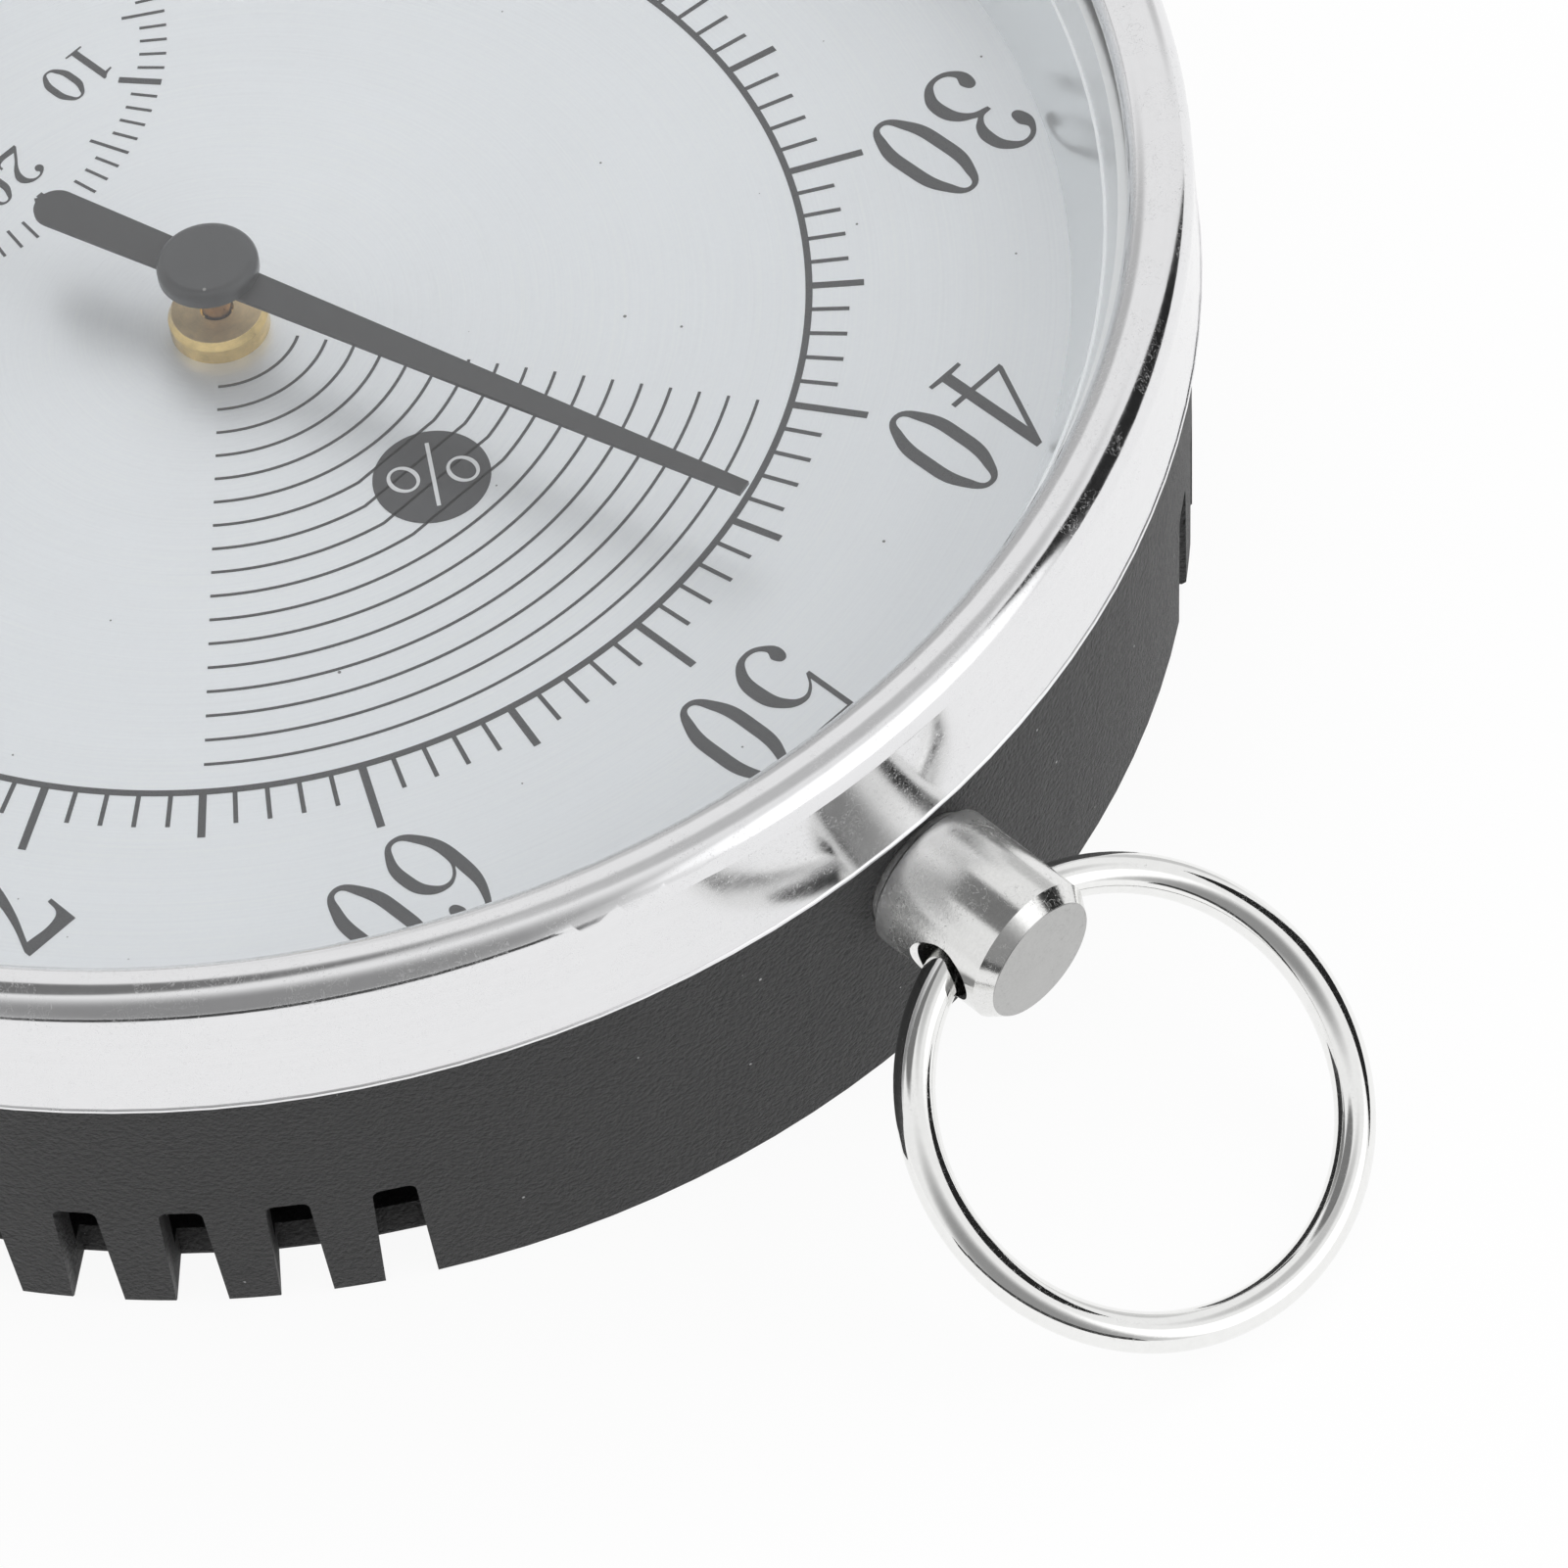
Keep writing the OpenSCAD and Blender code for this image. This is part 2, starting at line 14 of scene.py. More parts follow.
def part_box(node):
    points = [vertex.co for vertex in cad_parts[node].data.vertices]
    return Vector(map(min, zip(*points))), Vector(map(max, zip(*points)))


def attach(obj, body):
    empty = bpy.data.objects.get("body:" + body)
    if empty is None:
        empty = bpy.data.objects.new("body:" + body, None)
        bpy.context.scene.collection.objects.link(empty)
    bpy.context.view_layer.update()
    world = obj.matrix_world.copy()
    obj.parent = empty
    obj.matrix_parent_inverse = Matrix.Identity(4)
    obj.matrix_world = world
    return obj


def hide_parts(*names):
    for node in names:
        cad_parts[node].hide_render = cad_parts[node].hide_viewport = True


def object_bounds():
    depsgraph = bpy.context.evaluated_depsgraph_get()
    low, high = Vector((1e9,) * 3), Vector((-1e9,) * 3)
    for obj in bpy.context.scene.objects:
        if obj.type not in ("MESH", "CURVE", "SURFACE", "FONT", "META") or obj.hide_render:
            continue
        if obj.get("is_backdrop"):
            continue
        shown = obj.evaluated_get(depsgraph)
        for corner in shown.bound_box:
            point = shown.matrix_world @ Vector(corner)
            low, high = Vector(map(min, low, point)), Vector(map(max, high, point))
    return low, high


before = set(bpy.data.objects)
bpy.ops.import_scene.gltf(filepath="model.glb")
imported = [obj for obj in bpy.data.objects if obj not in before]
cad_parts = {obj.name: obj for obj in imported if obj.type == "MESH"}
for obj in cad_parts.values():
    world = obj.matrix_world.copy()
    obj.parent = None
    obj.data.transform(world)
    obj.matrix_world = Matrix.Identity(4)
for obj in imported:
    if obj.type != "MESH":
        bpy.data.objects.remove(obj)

LOG = logging.getLogger("thermo_hygrometer")
MM = 0.001
# Points of a mesh that are nearer each other than this are one point.
MERGE_DISTANCE = 1e-7
# The values of a noise texture lie about this.
NOISE_MIDDLE = 0.5
Color = tuple[float, float, float]
Point = tuple[float, float, float]
# A contour point is (x, y) where the outline runs on smoothly and (x, y, 1) at a corner.
Contour = list[tuple[float, ...]]
Parts = list[tuple[bpy.types.Mesh, Matrix]]


class Body(Enum):
    """The bodies of the frame that added pieces ride on."""

    HOUSING = "housing"


# Node wiring


class Wiring:
    """Adds, feeds and links the nodes of one tree."""

    def __init__(self, tree: bpy.types.NodeTree) -> None:
        """Keeps the tree that nodes go into.

        Args:
            tree: shader, geometry or group tree.
        """
        self.tree = tree

    def add(self, kind: str, **settings: object) -> bpy.types.Node:
        """Adds one node.

        Args:
            kind: Blender's node type name.
            **settings: properties to set on it.

        Returns:
            The new node.
        """
        node = self.tree.nodes.new(kind)
        for name, value in settings.items():
            setattr(node, name, value)
        return node

    def feed(self, socket: bpy.types.NodeSocket, value: object) -> None:
        """Links a socket into an input, or sets its value.

        Args:
            socket: the input.
            value: a source socket or a plain value.
        """
        if isinstance(value, bpy.types.NodeSocket):
            self.tree.links.new(value, socket)
        else:
            socket.default_value = value

    def math(self, operation: str, *values: object) -> bpy.types.NodeSocket:
        """Adds a maths node.

        Args:
            operation: its operation.
            *values: sockets or numbers, in order.

        Returns:
            The result socket.
        """
        node = self.add("ShaderNodeMath", operation=operation)
        for socket, value in zip(node.inputs, values):
            self.feed(socket, value)
        return node.outputs[0]

    def vector(self, operation: str, *values: object, out: int = 0) -> bpy.types.NodeSocket:
        """Adds a vector maths node.

        Args:
            operation: its operation.
            *values: sockets or vectors, in order; a SCALE takes its number last.
            out: index of the wanted output.

        Returns:
            The result socket.
        """
        node = self.add("ShaderNodeVectorMath", operation=operation)
        sockets = [node.inputs[0], node.inputs["Scale"]] if operation == "SCALE" else node.inputs
        for socket, value in zip(sockets, values):
            self.feed(socket, value)
        return node.outputs[out]

    def combine(self, x: object, y: object, z: object) -> bpy.types.NodeSocket:
        """Joins three numbers to a vector.

        Args:
            x: number or socket.
            y: number or socket.
            z: number or socket.

        Returns:
            The vector socket.
        """
        node = self.add("ShaderNodeCombineXYZ")
        for socket, value in zip(node.inputs, (x, y, z)):
            self.feed(socket, value)
        return node.outputs[0]

    def flat(self, place: bpy.types.NodeSocket) -> bpy.types.NodeSocket:
        """A place with its height taken away."""
        return self.vector("MULTIPLY", place, (1.0, 1.0, 0.0))

    def step(self, value: bpy.types.NodeSocket, start: float, end: float, low: float,
             high: float) -> bpy.types.NodeSocket:
        """Adds a smooth step from one value to another.

        Args:
            value: what is measured.
            start: where the step starts.
            end: where it ends.
            low: result before it.
            high: result after it.

        Returns:
            The result socket.
        """
        node = self.add("ShaderNodeMapRange", interpolation_type="SMOOTHSTEP")
        for socket, number in zip(node.inputs, (value, start, end, low, high)):
            self.feed(socket, number)
        return node.outputs[0]

    def noise(self, place: bpy.types.NodeSocket, **settings: float) -> bpy.types.NodeSocket:
        """Adds a noise texture.

        Args:
            place: coordinates.
            **settings: values of its inputs by name.

        Returns:
            Its value, 0 to 1.
        """
        node = self.add("ShaderNodeTexNoise", noise_dimensions="3D")
        for label, value in (("Vector", place), ("Scale", 1.0), *settings.items()):
            self.feed(node.inputs[label], value)
        return node.outputs[0]

    def blend(self, factor: object, low: object, high: object,
              kind: str = "MIX") -> bpy.types.NodeSocket:
        """Mixes two colours.

        Args:
            factor: 0 gives low and 1 gives the blend with high.
            low: colour or socket.
            high: colour or socket.
            kind: the node's blend type.

        Returns:
            The mixed colour socket.
        """
        # The colours are inputs 6 and 7 and output 2 of this node.
        node = self.add("ShaderNodeMix", data_type="RGBA", blend_type=kind)
        self.feed(node.inputs["Factor"], factor)
        self.feed(node.inputs[6], low)
        self.feed(node.inputs[7], high)
        return node.outputs[2]

    def group(self, tree: bpy.types.NodeTree, values: dict[str, object]) -> bpy.types.NodeSocket:
        """Places a shared group.

        Args:
            tree: the group.
            values: its inputs by name.

        Returns:
            Its only output.
        """
        node = self.add("ShaderNodeGroup", node_tree=tree)
        for label, value in values.items():
            self.feed(node.inputs[label], value)
        return node.outputs[0]

    def end_in_mix(self, factor: bpy.types.NodeSocket, first: bpy.types.Node, second: bpy.types.Node,
                   output: bpy.types.Node) -> None:
        """Ends the tree in a mix of two shaders.

        Args:
            factor: 0 gives the first and 1 the second.
            first: shader node.
            second: shader node.
            output: the tree's output node.
        """
        node = self.add("ShaderNodeMixShader")
        for socket, value in zip(node.inputs, (factor, first.outputs[0], second.outputs[0])):
            self.feed(socket, value)
        self.feed(output.inputs["Surface"], node.outputs[0])


def new_material(name: str) -> tuple[bpy.types.Material, Wiring, bpy.types.Node, bpy.types.Node]:
    """Starts a material.

    Args:
        name: its name.

    Returns:
        The material, its wiring, its Principled BSDF and its output node.
    """
    material = bpy.data.materials.new(name)
    material.use_nodes = True
    nodes = material.node_tree.nodes
    return material, Wiring(material.node_tree), nodes["Principled BSDF"], nodes["Material Output"]


class EffectGroups:
    """Surface effects that several finishes share, each built once, when it is first asked for."""

    # Radius of the largest speck, in cells.
    SPECK_REACH = 0.28
    # Hairlines show where the patch noise is above this.
    PATCH_LEVEL = 0.44
    PATCH_SCALE = 0.17

    def start(self, name: str, inputs: dict[str, float],
              output: str) -> tuple[Wiring, bpy.types.Node, bpy.types.NodeSocket]:
        """Makes an empty group with a vector input and named numbers.

        Args:
            name: the group's name.
            inputs: number inputs and their defaults.
            output: its only output.

        Returns:
            Its wiring, its input node, and the socket that its result goes into.
        """
        tree = bpy.data.node_groups.new(name, "ShaderNodeTree")
        tree.interface.new_socket("Vector", in_out="INPUT", socket_type="NodeSocketVector")
        for label, value in inputs.items():
            socket = tree.interface.new_socket(label, in_out="INPUT", socket_type="NodeSocketFloat")
            socket.default_value = value
        tree.interface.new_socket(output, in_out="OUTPUT", socket_type="NodeSocketFloat")
        wiring = Wiring(tree)
        return wiring, wiring.add("NodeGroupInput"), wiring.add("NodeGroupOutput").inputs[output]

    @cached_property
    def turned_lines(self) -> bpy.types.NodeTree:
        """Fine lines left by turning or brushing round the Z axis.

        Returns:
            Group with Vector in mm, Per mm and Wander in, and Value out, 0 to 1.
        """
        w, given, out = self.start("turned_lines", {"Per mm": 8.0, "Wander": 3.0}, "Value")
        flat = w.flat(given.outputs["Vector"])
        radius = w.vector("LENGTH", flat, out=1)
        around = w.vector("SCALE", w.vector("NORMALIZE", flat), given.outputs["Wander"])
        split = w.add("ShaderNodeSeparateXYZ")
        w.feed(split.inputs[0], given.outputs["Vector"])
        along = w.math("MULTIPLY", w.math("ADD", radius, split.outputs[2]), given.outputs["Per mm"])
        place = w.vector("ADD", around, w.combine(0.0, 0.0, along))
        w.feed(out, w.noise(place, Detail=3.0, Roughness=0.65))
        return w.tree

    @cached_property
    def grain(self) -> bpy.types.NodeTree:
        """Even fine grain, as on spark-eroded plastic or plated metal.

        Returns:
            Group with Vector in mm and Per mm in, and Value out, 0 to 1.
        """
        w, given, out = self.start("grain", {"Per mm": 3.0}, "Value")
        place = w.vector("SCALE", given.outputs["Vector"], given.outputs["Per mm"])
        w.feed(out, w.noise(place, Detail=4.0, Roughness=0.6))
        return w.tree

    @cached_property
    def specks(self) -> bpy.types.NodeTree:
        """Sparse tiny specks: dust on some finishes, painted glints on others.

        Returns:
            Group with Vector in mm, Per mm and Share in, and Mask out, 0 or 1.
        """
        w, given, out = self.start("specks", {"Per mm": 2.0, "Share": 0.05}, "Mask")
        place = w.vector("SCALE", given.outputs["Vector"], given.outputs["Per mm"])
        cells = w.add("ShaderNodeTexVoronoi", feature="F1")
        w.feed(cells.inputs["Vector"], place)
        w.feed(cells.inputs["Scale"], 1.0)
        pick = w.add("ShaderNodeSeparateColor")
        w.feed(pick.inputs[0], cells.outputs["Color"])
        chosen = w.math("LESS_THAN", pick.outputs[0], given.outputs["Share"])
        reach = w.math("MULTIPLY", pick.outputs[1], self.SPECK_REACH)
        near = w.math("LESS_THAN", cells.outputs["Distance"], reach)
        w.feed(out, w.math("MULTIPLY", chosen, near))
        return w.tree

    @cached_property
    def hairlines(self) -> bpy.types.NodeTree:
        """Fine curling scratches in loose patches, as handling leaves on bright metal.

        Returns:
            Group with Vector in mm, Per mm and Width in, and Mask out, 0 or 1.
        """
        w, given, out = self.start("hairlines", {"Per mm": 1.2, "Width": 0.006}, "Mask")
        place = w.vector("SCALE", given.outputs["Vector"], given.outputs["Per mm"])
        curls = w.noise(place, Detail=3.0, Distortion=1.5)
        patches = w.noise(place, Scale=self.PATCH_SCALE, Detail=1.0)
        line = w.math("ABSOLUTE", w.math("SUBTRACT", curls, NOISE_MIDDLE))
        thin = w.math("LESS_THAN", line, given.outputs["Width"])
        w.feed(out, w.math("MULTIPLY", thin, w.math("GREATER_THAN", patches, self.PATCH_LEVEL)))
        return w.tree


EFFECTS = EffectGroups()


# Finishes


@dataclass(frozen=True)
class Lines:
    """Tool lines round an axis: lines per mm, and how far they change tone, gloss and height."""

    per_mm: float
    tone: float = 0.0
    rough: float = 0.0
    height_um: float = 0.0
    wander: float = 3.0


@dataclass(frozen=True)
class Grain:
    """Even grain: grains per mm, and how far they change tone, gloss and height."""

    per_mm: float
    tone: float = 0.0
    rough: float = 0.0
    height_um: float = 0.0


@dataclass(frozen=True)
class Specks:
    """Sparse specks: cells per mm, share of cells with one, and their colour."""

    per_mm: float
    share: float
    color: Color


@dataclass(frozen=True)
class Scratches:
    """Curling hairlines: how dense and wide they are, and how much rougher than the rest."""

    per_mm: float
    width: float
    rough: float


@dataclass(frozen=True)
class Band:
    """A stretch along the finish's Z axis, in mm, with its own tint, gloss and share of metal. Some tints
    paint shade or highlight, others the part's own colour.

    With soft, the upper end fades over that length. With a radius, only what is nearer the
    axis counts, and it fades over radius_soft.
    """

    low: float
    high: float
    tint: Color
    roughness: float
    metallic: float
    soft: float = 0.0
    radius: float = 0.0
    radius_soft: float = 1.2


@dataclass(frozen=True)
class Finish:
    """One surface finish, with its pattern centred and turned on the piece it dresses.

    A pattern moves the tone about MIDDLE, where the finish has its own colour. Tones 0 and 1
    are the shares DARKEST and LIGHTEST of it.
    """

    MIDDLE: ClassVar[float] = 0.5
    DARKEST: ClassVar[float] = 0.5
    LIGHTEST: ClassVar[float] = 1.5
    LEAST_ROUGHNESS: ClassVar[float] = 0.03
    MICRON: ClassVar[float] = 1e-6

    name: str
    color: Color
    roughness: float
    metallic: float = 0.0
    anisotropic: float = 0.0
    coat: float = 0.0
    coat_roughness: float = 0.1
    specular: float = 0.5
    lines: tuple[Lines, ...] = ()
    grains: tuple[Grain, ...] = ()
    specks: Specks | None = None
    scratches: Scratches | None = None
    bands: tuple[Band, ...] = ()
    centre: Point = (0.0, 0.0, 0.0)
    tilt_deg: float = 0.0
    tangent_axis: str = ""

    def place(self, w: Wiring) -> bpy.types.NodeSocket:
        """Object coordinates in mm about the finish's own centre.

        Args:
            w: the material's wiring.

        Returns:
            The vector socket.
        """
        source = w.add("ShaderNodeTexCoord").outputs["Object"]
        shift = w.vector("SUBTRACT", w.vector("SCALE", source, 1.0 / MM), self.centre)
        if not self.tilt_deg:
            return shift
        turn = w.add("ShaderNodeMapping", vector_type="POINT")
        w.feed(turn.inputs["Vector"], shift)
        w.feed(turn.inputs["Rotation"], (math.radians(self.tilt_deg), 0.0, 0.0))
        return turn.outputs[0]

    def layers(self, w: Wiring,
               place: bpy.types.NodeSocket) -> list[tuple[bpy.types.NodeSocket, Lines | Grain]]:
        """The pattern values of this finish.

        Args:
            w: the material's wiring.
            place: coordinates in mm.

        Returns:
            Pairs of a value centred on 0 and the effect that it belongs to.
        """
        found = []
        for line in self.lines:
            values = {"Vector": place, "Per mm": line.per_mm, "Wander": line.wander}
            raw = w.group(EFFECTS.turned_lines, values)
            found.append((w.math("SUBTRACT", raw, NOISE_MIDDLE), line))
        for grain in self.grains:
            raw = w.group(EFFECTS.grain, {"Vector": place, "Per mm": grain.per_mm})
            found.append((w.math("SUBTRACT", raw, NOISE_MIDDLE), grain))
        return found

    def weighted(self, w: Wiring, layers: list, weight: str,
                 start: float) -> bpy.types.NodeSocket | float:
        """Sums one weight of every layer.

        Args:
            w: the material's wiring.
            layers: pairs from layers().
            weight: name of the layer's field.
            start: value with no pattern.

        Returns:
            The sum's socket, or start where no layer has that weight.
        """
        total: bpy.types.NodeSocket | float = start
        for value, layer in layers:
            amount = getattr(layer, weight)
            if amount:
                total = w.math("ADD", total, w.math("MULTIPLY", value, amount))
        return total

    def inside(self, w: Wiring, place: bpy.types.NodeSocket, band: Band) -> bpy.types.NodeSocket:
        """Where a band lies.

        Args:
            w: the material's wiring.
            place: coordinates in mm.
            band: the band.

        Returns:
            Socket that is 1 in the band and 0 outside it.
        """
        split = w.add("ShaderNodeSeparateXYZ")
        w.feed(split.inputs[0], place)
        height = split.outputs[2]
        if band.soft:
            below = w.step(height, band.high - band.soft, band.high, 1.0, 0.0)
        else:
            below = w.math("LESS_THAN", height, band.high)
        between = w.math("MULTIPLY", w.math("GREATER_THAN", height, band.low), below)
        if not band.radius:
            return between
        out = w.vector("LENGTH", w.flat(place), out=1)
        near = w.step(out, band.radius - band.radius_soft, band.radius, 1.0, 0.0)
        return w.math("MULTIPLY", between, near)

    def shade(self, w: Wiring, layers: list) -> object:
        """The finish's colour with its patterns' tones.

        Args:
            w: the material's wiring.
            layers: pairs from layers().

        Returns:
            A colour socket, or the plain colour where no pattern has a tone.
        """
        tone = self.weighted(w, layers, "tone", self.MIDDLE)
        if not isinstance(tone, bpy.types.NodeSocket):
            return (*self.color, 1.0)
        dark = (*[c * self.DARKEST for c in self.color], 1.0)
        light = (*[c * self.LIGHTEST for c in self.color], 1.0)
        return w.blend(tone, dark, light)

    def gloss(self, w: Wiring, layers: list,
              place: bpy.types.NodeSocket) -> bpy.types.NodeSocket | float:
        """The roughness with its patterns and scratches.

        Args:
            w: the material's wiring.
            layers: pairs from layers().
            place: coordinates in mm.

        Returns:
            A socket, or the plain value where nothing changes it.
        """
        rough = self.weighted(w, layers, "rough", self.roughness)
        if not self.scratches:
            return rough
        values = {"Vector": place, "Per mm": self.scratches.per_mm, "Width": self.scratches.width}
        mask = w.group(EFFECTS.hairlines, values)
        return w.math("ADD", rough, w.math("MULTIPLY", mask, self.scratches.rough))

    def relief(self, w: Wiring, layers: list, shader: bpy.types.Node) -> None:
        """Feeds the patterns' heights into the shader's normal.

        Args:
            w: the material's wiring.
            layers: pairs from layers().
            shader: its Principled BSDF.
        """
        height = self.weighted(w, layers, "height_um", 0.0)
        if isinstance(height, bpy.types.NodeSocket):
            bump = w.add("ShaderNodeBump")
            w.feed(bump.inputs["Height"], w.math("MULTIPLY", height, self.MICRON))
            w.feed(bump.inputs["Distance"], 1.0)
            w.feed(bump.inputs["Strength"], 1.0)
            w.feed(shader.inputs["Normal"], bump.outputs[0])

    def dress(self, w: Wiring, shader: bpy.types.Node) -> None:
        """Feeds colour, gloss, metal and relief into the shader.

        Args:
            w: the material's wiring.
            shader: its Principled BSDF.
        """
        place = self.place(w)
        layers = self.layers(w, place)
        shade, rough = self.shade(w, layers), self.gloss(w, layers, place)
        metal: bpy.types.NodeSocket | float = self.metallic
        for band in self.bands:
            inside = self.inside(w, place, band)
            shade = w.blend(inside, shade, (*band.tint, 1.0), "MULTIPLY")
            rough = w.math("ADD", rough, w.math("MULTIPLY", inside, band.roughness - self.roughness))
            metal = w.math("MULTIPLY_ADD", inside, band.metallic - self.metallic, metal)
        if self.bands:
            w.feed(shader.inputs["Metallic"], metal)
        if self.specks:
            values = {"Vector": place, "Per mm": self.specks.per_mm, "Share": self.specks.share}
            mask = w.group(EFFECTS.specks, values)
            shade = w.blend(mask, shade, (*self.specks.color, 1.0))
        w.feed(shader.inputs["Base Color"], shade)
        if isinstance(rough, bpy.types.NodeSocket):
            rough = w.math("MAXIMUM", rough, self.LEAST_ROUGHNESS)
        w.feed(shader.inputs["Roughness"], rough)
        self.relief(w, layers, shader)

    def build(self) -> bpy.types.Material:
        """Makes the material.

        Returns:
            The material, with every effect wired.
        """
        material, w, shader, _ = new_material(self.name)
        plain = {
            "Metallic": self.metallic,
            "Anisotropic": self.anisotropic,
            "Coat Weight": self.coat,
            "Coat Roughness": self.coat_roughness,
            "Specular IOR Level": self.specular,
        }
        for label, value in plain.items():
            shader.inputs[label].default_value = value
        self.dress(w, shader)
        if self.tangent_axis:
            tangent = w.add("ShaderNodeTangent", direction_type="RADIAL", axis=self.tangent_axis)
            w.feed(shader.inputs["Tangent"], tangent.outputs[0])
        return material


@dataclass(frozen=True)
class ClearGlass:
    """Clear flat glass that lets light through to the dial, with a faint uneven film on it."""

    name: str = "clear_glass"
    tint: Color = (0.99, 0.996, 1.0)
    shadow: Color = (0.985, 0.988, 0.99)
    bending: float = 1.5
    film_per_mm: float = 0.05
    film_roughness: float = 0.006

    def build(self) -> bpy.types.Material:
        """Makes the material: refracting to the eye, and open to shadow rays.

        Returns:
            The material.
        """
        material, w, shader, out = new_material(self.name)
        for label, value in (("Transmission Weight", 1.0), ("IOR", self.bending), ("Metallic", 0.0)):
            shader.inputs[label].default_value = value
        source = w.vector("SCALE", w.add("ShaderNodeTexCoord").outputs["Object"], 1.0 / MM)
        film = w.group(EFFECTS.grain, {"Vector": source, "Per mm": self.film_per_mm})
        w.feed(shader.inputs["Roughness"], w.math("MULTIPLY", film, self.film_roughness))
        w.feed(shader.inputs["Base Color"], (*self.tint, 1.0))
        clear = w.add("ShaderNodeBsdfTransparent")
        w.feed(clear.inputs[0], (*self.shadow, 1.0))
        w.end_in_mix(w.add("ShaderNodeLightPath").outputs["Is Shadow Ray"], shader, clear, out)
        return material


# Where patterns are centred, mm: the temperature pointer's axis, the middle of the stud's foot
# and the middle of the ring at rest.
SUB_AXIS = (0.0, -36.45, 0.0)
STUD_FOOT = (0.0, 65.06, 17.75)
RING_CENTRE = (0.35, 83.62, 9.5)


